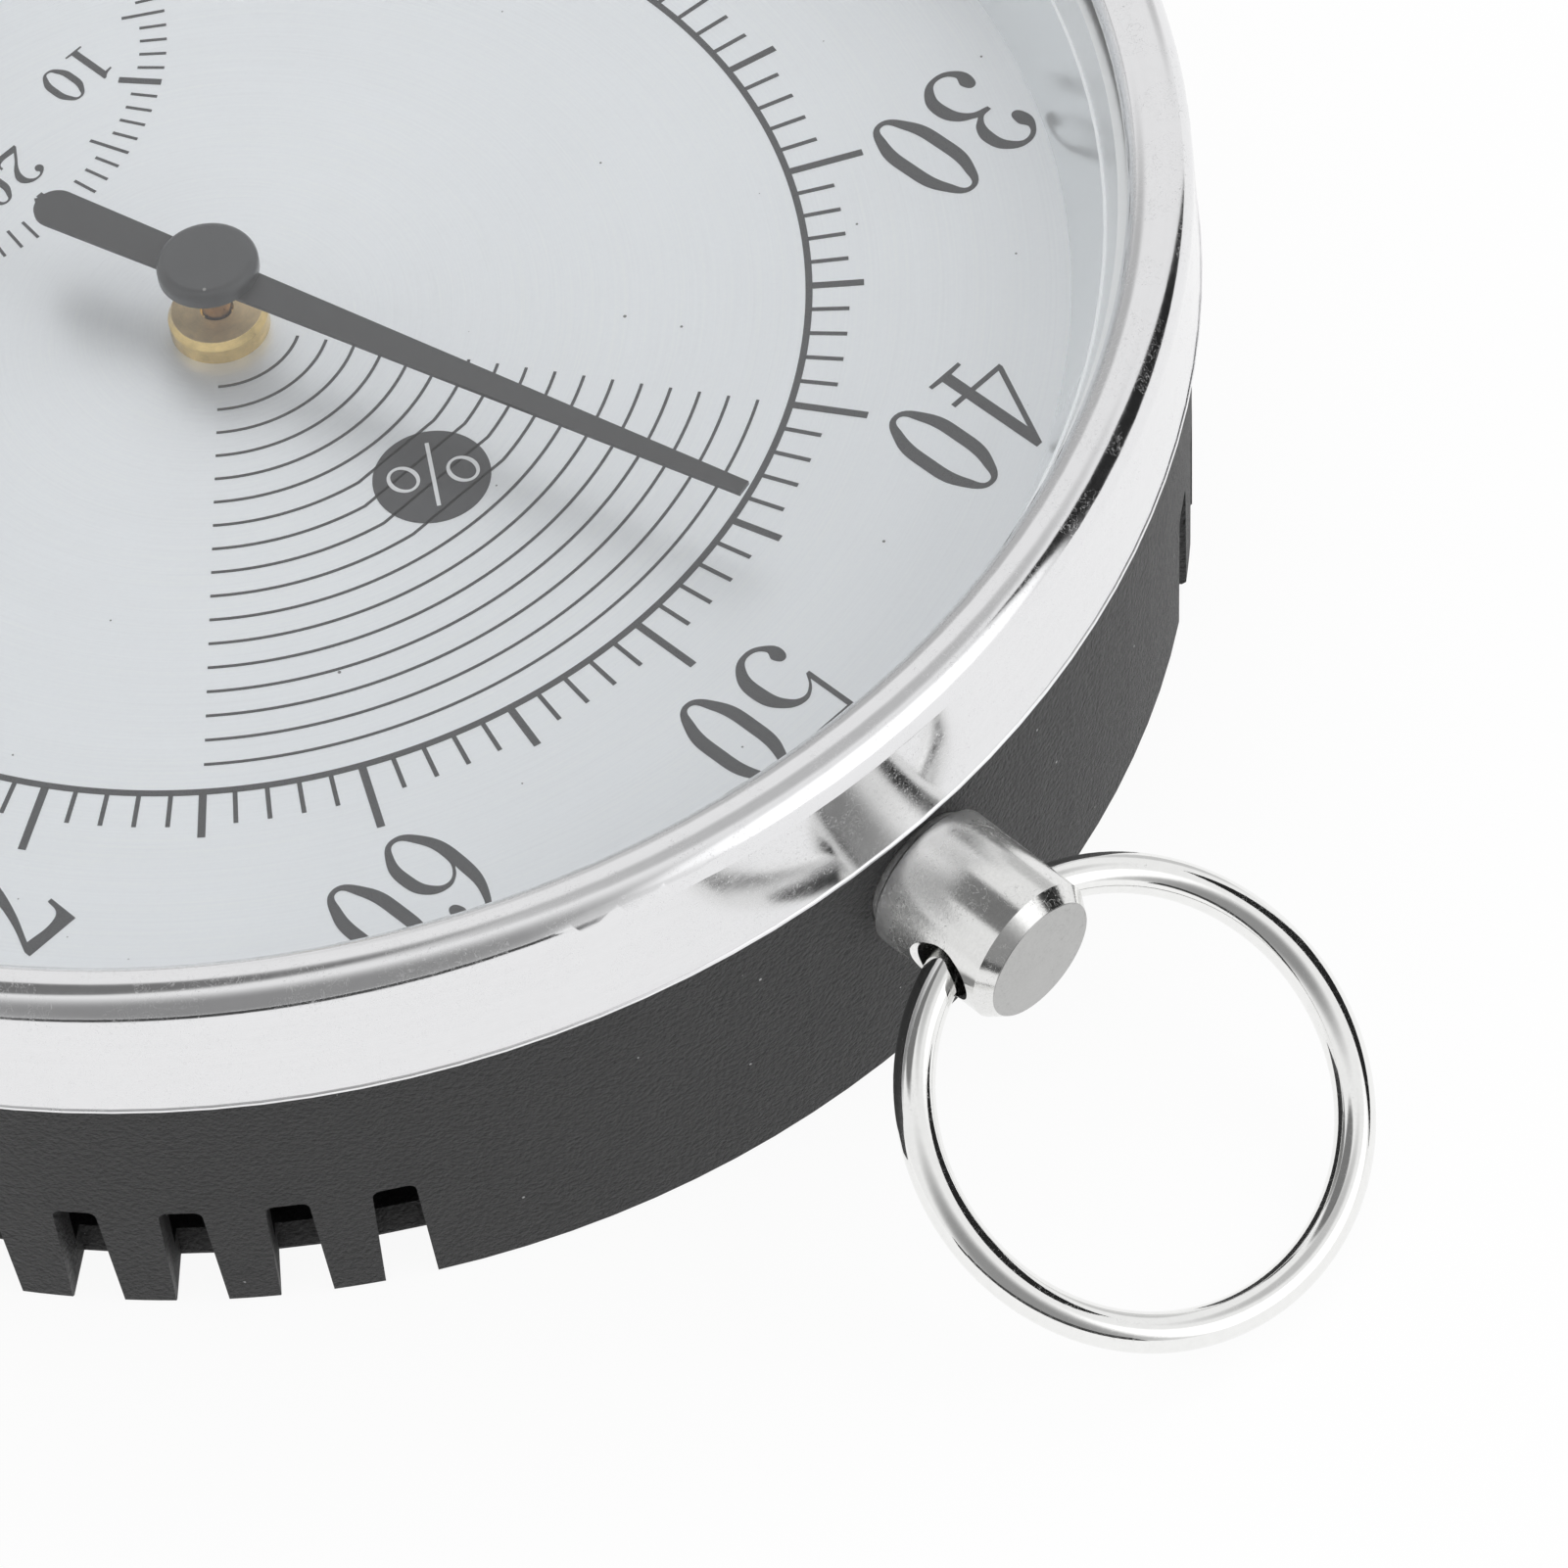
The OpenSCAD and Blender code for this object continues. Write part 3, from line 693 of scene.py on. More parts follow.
class Finishes:
    """Every finish on the instrument, built once and kept by name."""

    SET = (
        Finish("case_plastic", (0.03, 0.03, 0.031), 0.5, specular=0.5,
               # The fine grain's tone follows its bump, so its pits are darker: painted shade in the pits.
               grains=(Grain(2.7, tone=1.1, rough=0.4, height_um=800.0), Grain(0.35, tone=0.2)),
               # The pale specks on the black plastic are painted glints.
               specks=Specks(2.4, 0.008, (0.6, 0.6, 0.61)),
               # The band darkens the vents' inner faces, nearer the axis than 63.9 mm, and roughens them:
               # painted shade in the vents.
               bands=(Band(0.2, 10.9, (0.35, 0.35, 0.35), 0.7, 0.0, radius=63.9),)),
        Finish("bezel_metal", (0.81, 0.81, 0.82), 0.12, metallic=1.0, anisotropic=0.3,
               tangent_axis="Z",
               lines=(Lines(9.0, tone=0.05, rough=0.1, height_um=0.7), Lines(1.3, tone=0.05, rough=0.06)),
               grains=(Grain(1.4, tone=0.06, rough=0.1), Grain(0.12, rough=0.1)),
               scratches=Scratches(1.6, 0.008, 0.3),
               # The band lightens the bezel's lower edge and roughens it: a painted highlight along the lip.
               bands=(Band(20.0, 24.15, (1.15, 1.15, 1.15), 0.3, 1.0),)),
        Finish("dial_metal", (0.95, 0.975, 1.0), 0.42, metallic=0.55, anisotropic=0.6, tangent_axis="Z",
               specular=0.3,
               lines=(Lines(6.0, tone=0.13, rough=0.12, height_um=0.6, wander=2.2),
                      Lines(1.2, tone=0.03, rough=0.08, wander=1.2)),
               grains=(Grain(3.0, tone=0.06), Grain(0.06, tone=0.05)),
               specks=Specks(2.2, 0.0025, (0.2, 0.2, 0.2))),
        Finish("spacer_grey", (0.94, 0.965, 0.98), 0.2, metallic=0.55,
               lines=(Lines(5.0, tone=0.05, rough=0.08, height_um=0.4),),
               grains=(Grain(0.2, rough=0.06),)),
        Finish("seal", (0.95, 0.965, 0.97), 0.3, metallic=0.6,
               grains=(Grain(1.5, tone=0.06, rough=0.1, height_um=3.0),)),
        Finish("brass", (0.74, 0.57, 0.33), 0.42, metallic=0.55,
               lines=(Lines(9.0, tone=0.25, rough=0.15, height_um=1.0),),
               grains=(Grain(0.9, tone=0.7, rough=0.1),),
               bands=(Band(21.0, 23.37, (1.0, 0.95, 0.7), 0.13, 1.0),)),
        Finish("brass_sub", (0.68, 0.51, 0.27), 0.3, metallic=0.9, centre=SUB_AXIS,
               lines=(Lines(9.0, tone=0.25, rough=0.15, height_um=1.0),),
               grains=(Grain(1.6, tone=0.4, rough=0.1),)),
        Finish("rolled_brass", (0.74, 0.56, 0.28), 0.34, metallic=1.0,
               grains=(Grain(5.0, tone=0.12, rough=0.15, height_um=1.5), Grain(0.4, tone=0.15))),
        Finish("boss_brass", (0.6, 0.4, 0.25), 0.3, metallic=1.0,
               grains=(Grain(4.0, tone=0.3, rough=0.2, height_um=2.0),)),
        Finish("steel", (0.6, 0.61, 0.62), 0.28, metallic=1.0,
               grains=(Grain(6.0, tone=0.1, rough=0.15, height_um=1.0),)),
        Finish("pointer_black", (0.034, 0.035, 0.037), 0.42, coat=0.1, coat_roughness=0.35,
               grains=(Grain(3.0, tone=0.1, rough=0.05), Grain(0.5, tone=0.12)),
               specks=Specks(2.2, 0.012, (0.26, 0.22, 0.18))),
        Finish("cap_black", (0.034, 0.036, 0.039), 0.3, coat=0.2, coat_roughness=0.2,
               grains=(Grain(2.5, tone=0.08, rough=0.04),),
               specks=Specks(2.0, 0.008, (0.3, 0.29, 0.28))),
        Finish("moisture_strip", (0.66, 0.6, 0.46), 0.6,
               grains=(Grain(4.0, tone=0.25, rough=0.15, height_um=4.0),)),
        Finish("bimetal_strip", (0.5, 0.47, 0.43), 0.36, metallic=1.0,
               grains=(Grain(5.0, tone=0.2, rough=0.15, height_um=1.5),)),
        Finish("stud_nickel", (0.8, 0.8, 0.79), 0.15, metallic=1.0, centre=STUD_FOOT, tilt_deg=93.1,
               lines=(Lines(6.0, tone=0.12, rough=0.08, height_um=1.5, wander=8.0),),
               grains=(Grain(4.5, tone=0.22, rough=0.1, height_um=3.0),
                       Grain(0.9, tone=0.08, rough=0.03, height_um=2.0)),
               scratches=Scratches(1.1, 0.01, 0.25),
               # The first band greys the stud's end face and roughens it: painted shade for the dim floor
               # that it reflects.
               bands=(Band(10.44, 12.0, (0.62, 0.62, 0.62), 0.34, 1.0),
                      # The second band lightens the stud towards its foot, fading out along it: a painted
                      # highlight.
                      Band(-3.0, 6.0, (1.25, 1.25, 1.25), 0.3, 1.0, soft=5.0))),
        Finish("ring_nickel", (0.88, 0.88, 0.87), 0.035, metallic=1.0, centre=RING_CENTRE,
               grains=(Grain(1.6, tone=0.1, rough=0.06, height_um=1.5), Grain(0.2, rough=0.05)),
               scratches=Scratches(1.4, 0.007, 0.2)),
        Finish("scale_ink", (0.05, 0.052, 0.056), 0.42, specular=0.5,
               grains=(Grain(7.0, tone=0.5, rough=0.25, height_um=3.0),)),
        Finish("sign_white", (0.82, 0.83, 0.84), 0.5,
               grains=(Grain(6.0, tone=0.06, rough=0.1, height_um=1.0),)),
    )

    def __init__(self) -> None:
        """Builds every material."""
        self.made = {finish.name: finish.build() for finish in self.SET}
        self.made["clear_glass"] = ClearGlass().build()

    def put(self, obj: bpy.types.Object, name: str) -> None:
        """Gives a piece one finish.

        Args:
            obj: the piece.
            name: the finish's name.
        """
        material = self.made[name]
        if not obj.material_slots:
            obj.data.materials.append(material)
        for slot in obj.material_slots:
            slot.material = material


# Mesh helpers


def piece_from_mesh(name: str, mesh: bpy.types.Mesh) -> bpy.types.Object:
    """Links a mesh into the scene as a piece at the origin.

    Args:
        name: piece name.
        mesh: its mesh.

    Returns:
        The new object.
    """
    mesh.name = name
    obj = bpy.data.objects.new(name, mesh)
    bpy.context.scene.collection.objects.link(obj)
    return obj


def tidy(mesh: bpy.types.Mesh) -> bpy.types.Mesh:
    """Merges doubled points and turns all faces outwards.

    Args:
        mesh: mesh to tidy in place.

    Returns:
        The same mesh.
    """
    bm = bmesh.new()
    bm.from_mesh(mesh)
    bmesh.ops.remove_doubles(bm, verts=bm.verts, dist=MERGE_DISTANCE)
    bmesh.ops.recalc_face_normals(bm, faces=bm.faces)
    bm.to_mesh(mesh)
    bm.free()
    return mesh


def baked(obj: bpy.types.Object) -> bpy.types.Mesh:
    """The mesh of an object with its modifiers applied.

    Args:
        obj: object in the scene.

    Returns:
        A new plain mesh.
    """
    graph = bpy.context.evaluated_depsgraph_get()
    real = obj.evaluated_get(graph)
    return bpy.data.meshes.new_from_object(real, preserve_all_data_layers=True, depsgraph=graph)


def from_mm(place: Point) -> Matrix:
    """What takes a mesh drawn in mm to its place, given in mm, in the frame's metres."""
    return Matrix.Diagonal((MM, MM, MM, 1.0)) @ Matrix.Translation(place)


def joined(parts: Parts) -> bpy.types.Mesh:
    """Joins placed copies of meshes.

    Args:
        parts: meshes and where each goes.

    Returns:
        One mesh.
    """
    bm = bmesh.new()
    for mesh, place in parts:
        copy = mesh.copy()
        copy.transform(place)
        bm.from_mesh(copy)
        bpy.data.meshes.remove(copy)
    mesh = bpy.data.meshes.new("joined")
    bm.to_mesh(mesh)
    bm.free()
    return mesh


def outline_mesh(contours: list[Contour], thickness: float, steps: int = 8) -> bpy.types.Mesh:
    """Fills an outline and gives it thickness, from z = 0 up.

    Args:
        contours: outer and inner contours, in mm.
        thickness: in mm.
        steps: straight pieces between two points of the outline.

    Returns:
        A closed mesh, in mm.
    """
    curve = bpy.data.curves.new("outline", "CURVE")
    curve.dimensions, curve.fill_mode = "2D", "BOTH"
    curve.extrude, curve.resolution_u = thickness / 2, steps
    for contour in contours:
        spline = curve.splines.new("BEZIER")
        spline.bezier_points.add(len(contour) - 1)
        spline.use_cyclic_u = True
        for point, given in zip(spline.bezier_points, contour):
            kind = "VECTOR" if len(given) > 2 else "AUTO"
            point.co = (given[0], given[1], 0.0)
            point.handle_left_type = point.handle_right_type = kind
    obj = bpy.data.objects.new("outline", curve)
    bpy.context.scene.collection.objects.link(obj)
    bpy.context.view_layer.update()
    mesh = baked(obj)
    bpy.data.objects.remove(obj)
    bpy.data.curves.remove(curve)
    mesh.transform(Matrix.Translation((0.0, 0.0, thickness / 2)))
    mesh.materials.clear()
    return tidy(mesh)


def ring_mesh(inner: float, outer: float, thickness: float, steps: int,
              span: tuple[float, float] | None = None) -> bpy.types.Mesh:
    """Flat ring, a disc where inner is 0, or a stretch of a ring, from z = 0 up.

    Args:
        inner: inside radius, mm.
        outer: outside radius, mm.
        thickness: mm.
        steps: straight pieces round it.
        span: first and last angle of a stretch, clockwise from +Y, in radians.

    Returns:
        A closed mesh, in mm.
    """
    bm = bmesh.new()
    profile = [(inner, 0.0), (outer, 0.0), (outer, thickness), (inner, thickness)]
    low, high = span or (0.0, 2 * math.pi)
    rounds = []
    for k in range(steps + 1 if span else steps):
        angle = low + (high - low) * k / steps
        rounds.append([bm.verts.new((r * math.sin(angle), r * math.cos(angle), z)) for r, z in profile])
    for here, there in zip(rounds, rounds[1:] if span else rounds[1:] + rounds[:1]):
        for i in range(len(profile)):
            after = (i + 1) % len(profile)
            bm.faces.new((here[i], here[after], there[after], there[i]))
    if span:
        bm.faces.new(rounds[0])
        bm.faces.new(rounds[-1])
    mesh = bpy.data.meshes.new("ring")
    bm.to_mesh(mesh)
    bm.free()
    return tidy(mesh)


# Print made by rules

# The dial's face above the back, and the thickness of the ink on it, mm.
FACE_Z = 21.6
INK = 0.03
# Inside radius and width of the humidity scale's circle, and how far the marks reach into it, mm.
SCALE_RADIUS = 39.47
SCALE_LINE = 0.47
MARK_OVERLAP = 0.02
# Middle of the percent badge, mm.
PERCENT_AT = (0.0, 20.51)


class GeometryRule:
    """A Geometry Nodes tree with named number inputs that ends in plain faces."""

    def __init__(self, name: str, inputs: dict[str, float | int]) -> None:
        """Makes the tree's interface.

        Args:
            name: tree name.
            inputs: named sizes and counts.
        """
        self.values = inputs
        self.tree = bpy.data.node_groups.new(name, "GeometryNodeTree")
        self.sockets: dict[str, str] = {}
        for label, value in inputs.items():
            kind = "NodeSocketInt" if isinstance(value, int) else "NodeSocketFloat"
            socket = self.tree.interface.new_socket(label, in_out="INPUT", socket_type=kind)
            self.sockets[label] = socket.identifier
        socket = self.tree.interface.new_socket(
            "Material", in_out="INPUT", socket_type="NodeSocketMaterial")
        self.sockets["Material"] = socket.identifier
        self.tree.interface.new_socket("Geometry", in_out="OUTPUT", socket_type="NodeSocketGeometry")
        self.w = Wiring(self.tree)
        self.given = self.w.add("NodeGroupInput")
        self.out = self.w.add("NodeGroupOutput")

    def value(self, label: str) -> bpy.types.NodeSocket:
        """The named input's socket."""
        return self.given.outputs[label]

    def close(self, geometry: bpy.types.NodeSocket) -> None:
        """Ends the tree in Realize Instances and Set Material.

        Args:
            geometry: what the rule has made.
        """
        real = self.w.add("GeometryNodeRealizeInstances")
        paint = self.w.add("GeometryNodeSetMaterial")
        self.w.feed(real.inputs[0], geometry)
        self.w.feed(paint.inputs["Geometry"], real.outputs[0])
        self.w.feed(paint.inputs["Material"], self.value("Material"))
        self.w.feed(self.out.inputs[0], paint.outputs[0])

    def run(self, name: str, material: bpy.types.Material) -> bpy.types.Object:
        """Runs the tree once and keeps its result as a plain mesh.

        Args:
            name: piece name.
            material: its finish.

        Returns:
            The finished piece at the origin.
        """
        host = piece_from_mesh(name + "_host", bpy.data.meshes.new("host"))
        modifier = host.modifiers.new("rule", "NODES")
        modifier.node_group = self.tree
        for label, value in self.values.items():
            modifier[self.sockets[label]] = value
        modifier[self.sockets["Material"]] = material
        bpy.context.view_layer.update()
        mesh = baked(host)
        host.modifiers.clear()
        bpy.data.objects.remove(host)
        return piece_from_mesh(name, tidy(mesh))


@dataclass
class TickRow:
    """Straight scale marks round an axis, longer at each fifth and tenth."""

    name: str
    count: int
    first_deg: float
    step_deg: float
    foot: float
    ends: tuple[float, float, float]
    widths: tuple[float, float, float]
    centre: Point
    thickness: float

    def build(self, material: bpy.types.Material) -> bpy.types.Object:
        """Makes the marks by a rule on their index.

        Args:
            material: ink finish.

        Returns:
            The piece.
        """
        rule = GeometryRule(self.name, {
            "Count": self.count, "First": math.radians(self.first_deg),
            "Step": math.radians(self.step_deg),
            "Foot": self.foot * MM, "Unit end": self.ends[0] * MM, "Fifth end": self.ends[1] * MM,
            "Tenth end": self.ends[2] * MM, "Unit width": self.widths[0] * MM,
            "Fifth width": self.widths[1] * MM, "Tenth width": self.widths[2] * MM,
            "Thickness": self.thickness * MM, "X": self.centre[0] * MM, "Y": self.centre[1] * MM,
            "Z": self.centre[2] * MM,
        })
        w, value = rule.w, rule.value
        index = w.add("GeometryNodeInputIndex").outputs[0]

        def every(n: float) -> bpy.types.NodeSocket:
            """1 where the index is a multiple of n."""
            return w.math("LESS_THAN", w.math("MODULO", index, n), 0.5)

        def chosen(kind: str) -> bpy.types.NodeSocket:
            """The unit, fifth or tenth value of a size.

            Args:
                kind: end or width.

            Returns:
                The value that holds at the index.
            """
            fifth = w.math("MULTIPLY", every(5.0), w.math("SUBTRACT", 1.0, every(10.0)))
            unit = w.math("SUBTRACT", 1.0, every(5.0))
            parts = [w.math("MULTIPLY", unit, value("Unit " + kind)),
                     w.math("MULTIPLY", fifth, value("Fifth " + kind)),
                     w.math("MULTIPLY", every(10.0), value("Tenth " + kind))]
            return w.math("ADD", w.math("ADD", parts[0], parts[1]), parts[2])

        angle = w.math("MULTIPLY_ADD", index, value("Step"), value("First"))
        length = w.math("SUBTRACT", chosen("end"), value("Foot"))
        middle = w.math("MULTIPLY_ADD", length, 0.5, value("Foot"))
        x = w.math("MULTIPLY_ADD", w.math("SINE", angle), middle, value("X"))
        y = w.math("MULTIPLY_ADD", w.math("COSINE", angle), middle, value("Y"))
        z = w.math("MULTIPLY_ADD", value("Thickness"), 0.5, value("Z"))
        points = w.add("GeometryNodePoints")
        w.feed(points.inputs["Count"], value("Count"))
        w.feed(points.inputs["Position"], w.combine(x, y, z))
        bar = w.add("GeometryNodeMeshCube")
        w.feed(bar.inputs["Size"], (1.0, 1.0, 1.0))
        place = w.add("GeometryNodeInstanceOnPoints")
        w.feed(place.inputs["Points"], points.outputs[0])
        w.feed(place.inputs["Instance"], bar.outputs[0])
        turn = w.combine(0.0, 0.0, w.math("MULTIPLY", angle, -1.0))
        w.feed(place.inputs["Rotation"], turn)
        size = w.combine(chosen("width"), w.math("ABSOLUTE", length), value("Thickness"))
        w.feed(place.inputs["Scale"], size)
        rule.close(place.outputs[0])
        return rule.run(self.name, material)


@dataclass
class FanLines:
    """Concentric thin lines inside the humidity scale, broken round the badge."""

    name: str = "comfort_lines"
    count: int = 17
    outer: float = SCALE_RADIUS
    pitch: float = 2.0014
    width: float = 0.21
    from_deg: float = -30.0
    to_deg: float = 45.0
    gap_centre: tuple[float, float] = PERCENT_AT
    gap_radius: float = 4.83
    steps: int = 200

    def build(self, z: float, thickness: float, material: bpy.types.Material) -> bpy.types.Object:
        """Makes the lines by a rule on their index.

        Args:
            z: height of the dial's face, mm.
            thickness: of the ink, mm.
            material: ink finish.

        Returns:
            The piece.
        """
        rule = GeometryRule(self.name, {
            "Count": self.count, "Outer": self.outer * MM, "Pitch": self.pitch * MM,
            "Width": self.width * MM,
            "From": math.radians(90.0 - self.to_deg), "Sweep": math.radians(self.to_deg - self.from_deg),
            "Gap X": self.gap_centre[0] * MM, "Gap Y": self.gap_centre[1] * MM,
            "Gap": self.gap_radius * MM,
            "Z": z * MM, "Thickness": thickness * MM,
        })
        w, value = rule.w, rule.value
        arc = w.add("GeometryNodeCurveArc", mode="RADIUS")
        for label, given in (("Resolution", self.steps), ("Radius", 1.0), ("Start Angle", value("From")),
                             ("Sweep Angle", value("Sweep"))):
            w.feed(arc.inputs[label], given)
        points = w.add("GeometryNodePoints")
        height = w.math("MULTIPLY_ADD", value("Thickness"), 0.5, value("Z"))
        w.feed(points.inputs["Count"], value("Count"))
        w.feed(points.inputs["Position"], w.combine(0.0, 0.0, height))
        index = w.add("GeometryNodeInputIndex").outputs[0]
        order = w.math("ADD", index, 1.0)
        radius = w.math("SUBTRACT", value("Outer"), w.math("MULTIPLY", order, value("Pitch")))
        place = w.add("GeometryNodeInstanceOnPoints")
        w.feed(place.inputs["Points"], points.outputs[0])
        w.feed(place.inputs["Instance"], arc.outputs[0])
        w.feed(place.inputs["Scale"], w.combine(radius, radius, 1.0))
        real = w.add("GeometryNodeRealizeInstances")
        w.feed(real.inputs[0], place.outputs[0])
        here = w.flat(w.add("GeometryNodeInputPosition").outputs[0])
        away = w.vector("DISTANCE", here, w.combine(value("Gap X"), value("Gap Y"), 0.0), out=1)
        cut = w.add("GeometryNodeDeleteGeometry", domain="POINT")
        w.feed(cut.inputs["Geometry"], real.outputs[0])
        w.feed(cut.inputs["Selection"], w.math("LESS_THAN", away, value("Gap")))
        upright = w.add("GeometryNodeSetCurveNormal")
        upright.mode = "Z_UP"
        w.feed(upright.inputs[0], cut.outputs[0])
        section = w.add("GeometryNodeCurvePrimitiveQuadrilateral")
        w.feed(section.inputs["Width"], value("Width"))
        w.feed(section.inputs["Height"], value("Thickness"))
        solid = w.add("GeometryNodeCurveToMesh")
        w.feed(solid.inputs["Curve"], upright.outputs[0])
        w.feed(solid.inputs["Profile Curve"], section.outputs[0])
        w.feed(solid.inputs["Fill Caps"], True)
        rule.close(solid.outputs[0])
        return rule.run(self.name, material)


# Figures


class Figures:
    """Tall upright figures with thick sides, thin joins and round ends, drawn as outlines.

    Each figure stands on y = 0, is 8.6 high and about 4 wide before it is scaled.
    """

    HEIGHT = 8.6
    # A 9 is a 6 upside down.
    TURNED = {"9": "6"}
    SHAPES: dict[str, list[Contour]] = {
        "0": [
            [(1.97, 8.65), (3.5, 7.1), (3.94, 4.3), (3.5, 1.5), (1.97, -0.05), (0.44, 1.5), (0.0, 4.3),
             (0.44, 7.1)],
            [(1.97, 8.3), (2.68, 7.15), (3.0, 4.3), (2.68, 1.45), (1.97, 0.3), (1.26, 1.45), (0.94, 4.3),
             (1.26, 7.15)],
        ],
        "1": [[
            (1.3, 0.36, 1), (0.5, 0.28, 1), (0.5, 0, 1), (3.1, 0, 1), (3.1, 0.28, 1), (2.25, 0.36, 1),
            (2.25, 8.65, 1), (1.95, 8.65, 1), (1.3, 8.02), (0.42, 7.72, 1), (0.42, 7.45, 1), (1.3, 7.5, 1),
        ]],
        "2": [[
            (1.95, 8.65), (3.35, 7.9), (3.78, 6.4), (3.1, 4.5), (1.95, 2.9), (0.95, 1.2, 1), (2.9, 1.2),
            (3.45, 1.6), (3.62, 2.5, 1), (3.92, 2.5, 1), (3.7, 0, 1), (0.1, 0, 1), (0.1, 0.5, 1),
            (1.2, 2.45), (2.3, 4.4), (2.78, 6.3), (2.5, 7.75), (1.8, 8.3), (0.98, 7.85), (1.18, 7.05),
            (0.62, 6.3), (0.08, 6.95), (0.6, 8.1),
        ]],
        "3": [[
            (1.25, 4.7, 1), (2.1, 4.85), (2.72, 6.5), (2.35, 7.8), (1.65, 8.28), (0.8, 7.75), (1.02, 6.85),
            (0.55, 6.0), (0.02, 6.7), (0.4, 7.95), (1.7, 8.65), (3.1, 7.95), (3.6, 6.5), (3.2, 5.25),
            (2.35, 4.58, 1), (3.5, 3.75), (3.98, 2.3), (3.35, 0.65), (1.8, -0.05), (0.4, 0.6), (0.02, 1.75),
            (0.55, 2.5), (1.05, 1.85), (0.8, 0.95), (1.8, 0.3), (2.7, 0.95), (3.02, 2.3), (2.45, 3.9),
            (1.25, 4.4, 1),
        ]],
        "4": [
            [(2.95, 8.68, 1), (3.42, 8.68, 1), (3.42, 2.46, 1), (4.42, 2.46, 1), (4.42, 2.1, 1),
             (3.42, 2.1, 1), (3.42, 0.36, 1), (4.3, 0.28, 1), (4.3, 0, 1), (1.62, 0, 1), (1.62, 0.28, 1),
             (2.6, 0.36, 1), (2.6, 2.1, 1), (0, 2.1, 1), (0, 2.42, 1)],
            [(2.6, 7.1, 1), (2.6, 2.46, 1), (0.42, 2.46, 1)],
        ],
        "5": [[
            (0.15, 8.6, 1), (3.45, 8.6, 1), (3.3, 7.72, 1), (0.53, 7.72, 1), (0.53, 4.5, 1), (1.15, 5.2),
            (2.05, 5.53), (3.4, 4.75), (4.05, 2.8), (3.4, 0.75), (1.9, -0.05), (0.55, 0.5), (0.03, 1.5),
            (0.5, 2.2), (1.02, 1.65), (0.85, 0.85), (1.85, 0.3), (2.72, 1.0), (3.02, 2.85), (2.6, 4.6),
            (1.85, 5.16), (1.05, 4.85), (0.42, 4.0, 1), (0.15, 4.0, 1),
        ]],
        "6": [
            [(2.3, 8.65), (0.85, 7.4), (0.0, 4.2), (0.5, 1.35), (2.1, -0.05), (3.55, 1.0), (4.1, 2.9),
             (3.6, 4.65), (2.3, 5.33), (1.45, 5.05), (0.86, 4.4, 1), (1.3, 7.1), (2.3, 8.3), (2.95, 7.95),
             (2.78, 7.1), (3.25, 6.45), (3.72, 7.05), (3.35, 8.2)],
            [(0.86, 3.4), (1.25, 1.3), (2.15, 0.28), (2.95, 1.1), (3.24, 2.9), (2.9, 4.4), (2.1, 5.0),
             (1.2, 4.5)],
        ],
        "7": [[
            (0.15, 8.6, 1), (4.02, 8.6, 1), (4.02, 8.15, 1), (3.0, 5.7), (2.42, 3.0), (2.35, 0, 1),
            (1.28, 0, 1), (1.5, 2.6), (2.25, 5.2), (3.4, 7.7, 1), (1.3, 7.7), (0.65, 7.35),
            (0.42, 6.35, 1), (0.12, 6.35, 1),
        ]],
        "8": [
            [(2.0, 8.65), (3.25, 7.95), (3.65, 6.6), (3.3, 5.4), (2.72, 4.65), (3.55, 3.75), (4.0, 2.25),
             (3.35, 0.6), (2.0, -0.05), (0.65, 0.6), (0.0, 2.25), (0.45, 3.7), (1.28, 4.45), (0.7, 5.4),
             (0.35, 6.6), (0.75, 7.95)],
            [(2.0, 8.32), (2.6, 7.75), (2.78, 6.65), (2.55, 5.5), (2.2, 4.95), (1.5, 5.6), (1.22, 6.65),
             (1.4, 7.75)],
            [(1.75, 4.2), (2.7, 3.3), (3.05, 2.1), (2.7, 0.9), (2.0, 0.28), (1.2, 0.9), (0.92, 2.1),
             (1.15, 3.4)],
        ],
        "-": [[(0.3, 3.4, 1), (2.7, 3.4, 1), (2.7, 4.0, 1), (0.3, 4.0, 1)]],
        "C": [[
            (3.9, 6.1, 1), (3.6, 6.1, 1), (3.1, 7.7), (2.25, 8.25), (1.35, 7.2), (0.98, 4.3), (1.35, 1.4),
            (2.25, 0.35), (3.15, 1.0), (3.65, 2.4, 1), (3.95, 2.4, 1), (3.3, 0.5), (2.15, -0.05), (0.6, 1.3),
            (0.0, 4.3), (0.6, 7.3), (2.1, 8.65), (3.2, 8.0), (3.6, 8.6, 1), (3.9, 8.6, 1),
        ]],
        "o": [
            [(0.9, 8.7), (1.8, 7.5), (0.9, 6.3), (0.0, 7.5)],
            [(0.9, 8.25), (1.35, 7.5), (0.9, 6.75), (0.45, 7.5)],
        ],
    }
    WIDTHS = {
        "0": 3.94, "1": 3.3, "2": 3.95, "3": 3.98, "4": 4.42, "5": 4.06, "6": 4.1, "7": 4.02, "8": 4.0,
        "9": 4.1, "-": 3.0, "C": 3.95, "o": 1.8,
    }

    def __init__(self, thickness: float) -> None:
        """Keeps the ink's thickness.

        Args:
            thickness: mm.
        """
        self.thickness = thickness
        self.cut: dict[str, bpy.types.Mesh] = {}

    def figure(self, sign: str) -> bpy.types.Mesh:
        """The solid outline of one figure.

        Args:
            sign: the figure.

        Returns:
            Its mesh in mm, standing on y = 0.
        """
        if sign not in self.cut:
            shape = self.SHAPES[self.TURNED.get(sign, sign)]
            if sign in self.TURNED:
                wide = self.WIDTHS[sign]
                shape = [[(wide - x, self.HEIGHT - y, *kind) for x, y, *kind in contour]
                         for contour in shape]
            self.cut[sign] = outline_mesh(shape, self.thickness)
        return self.cut[sign]

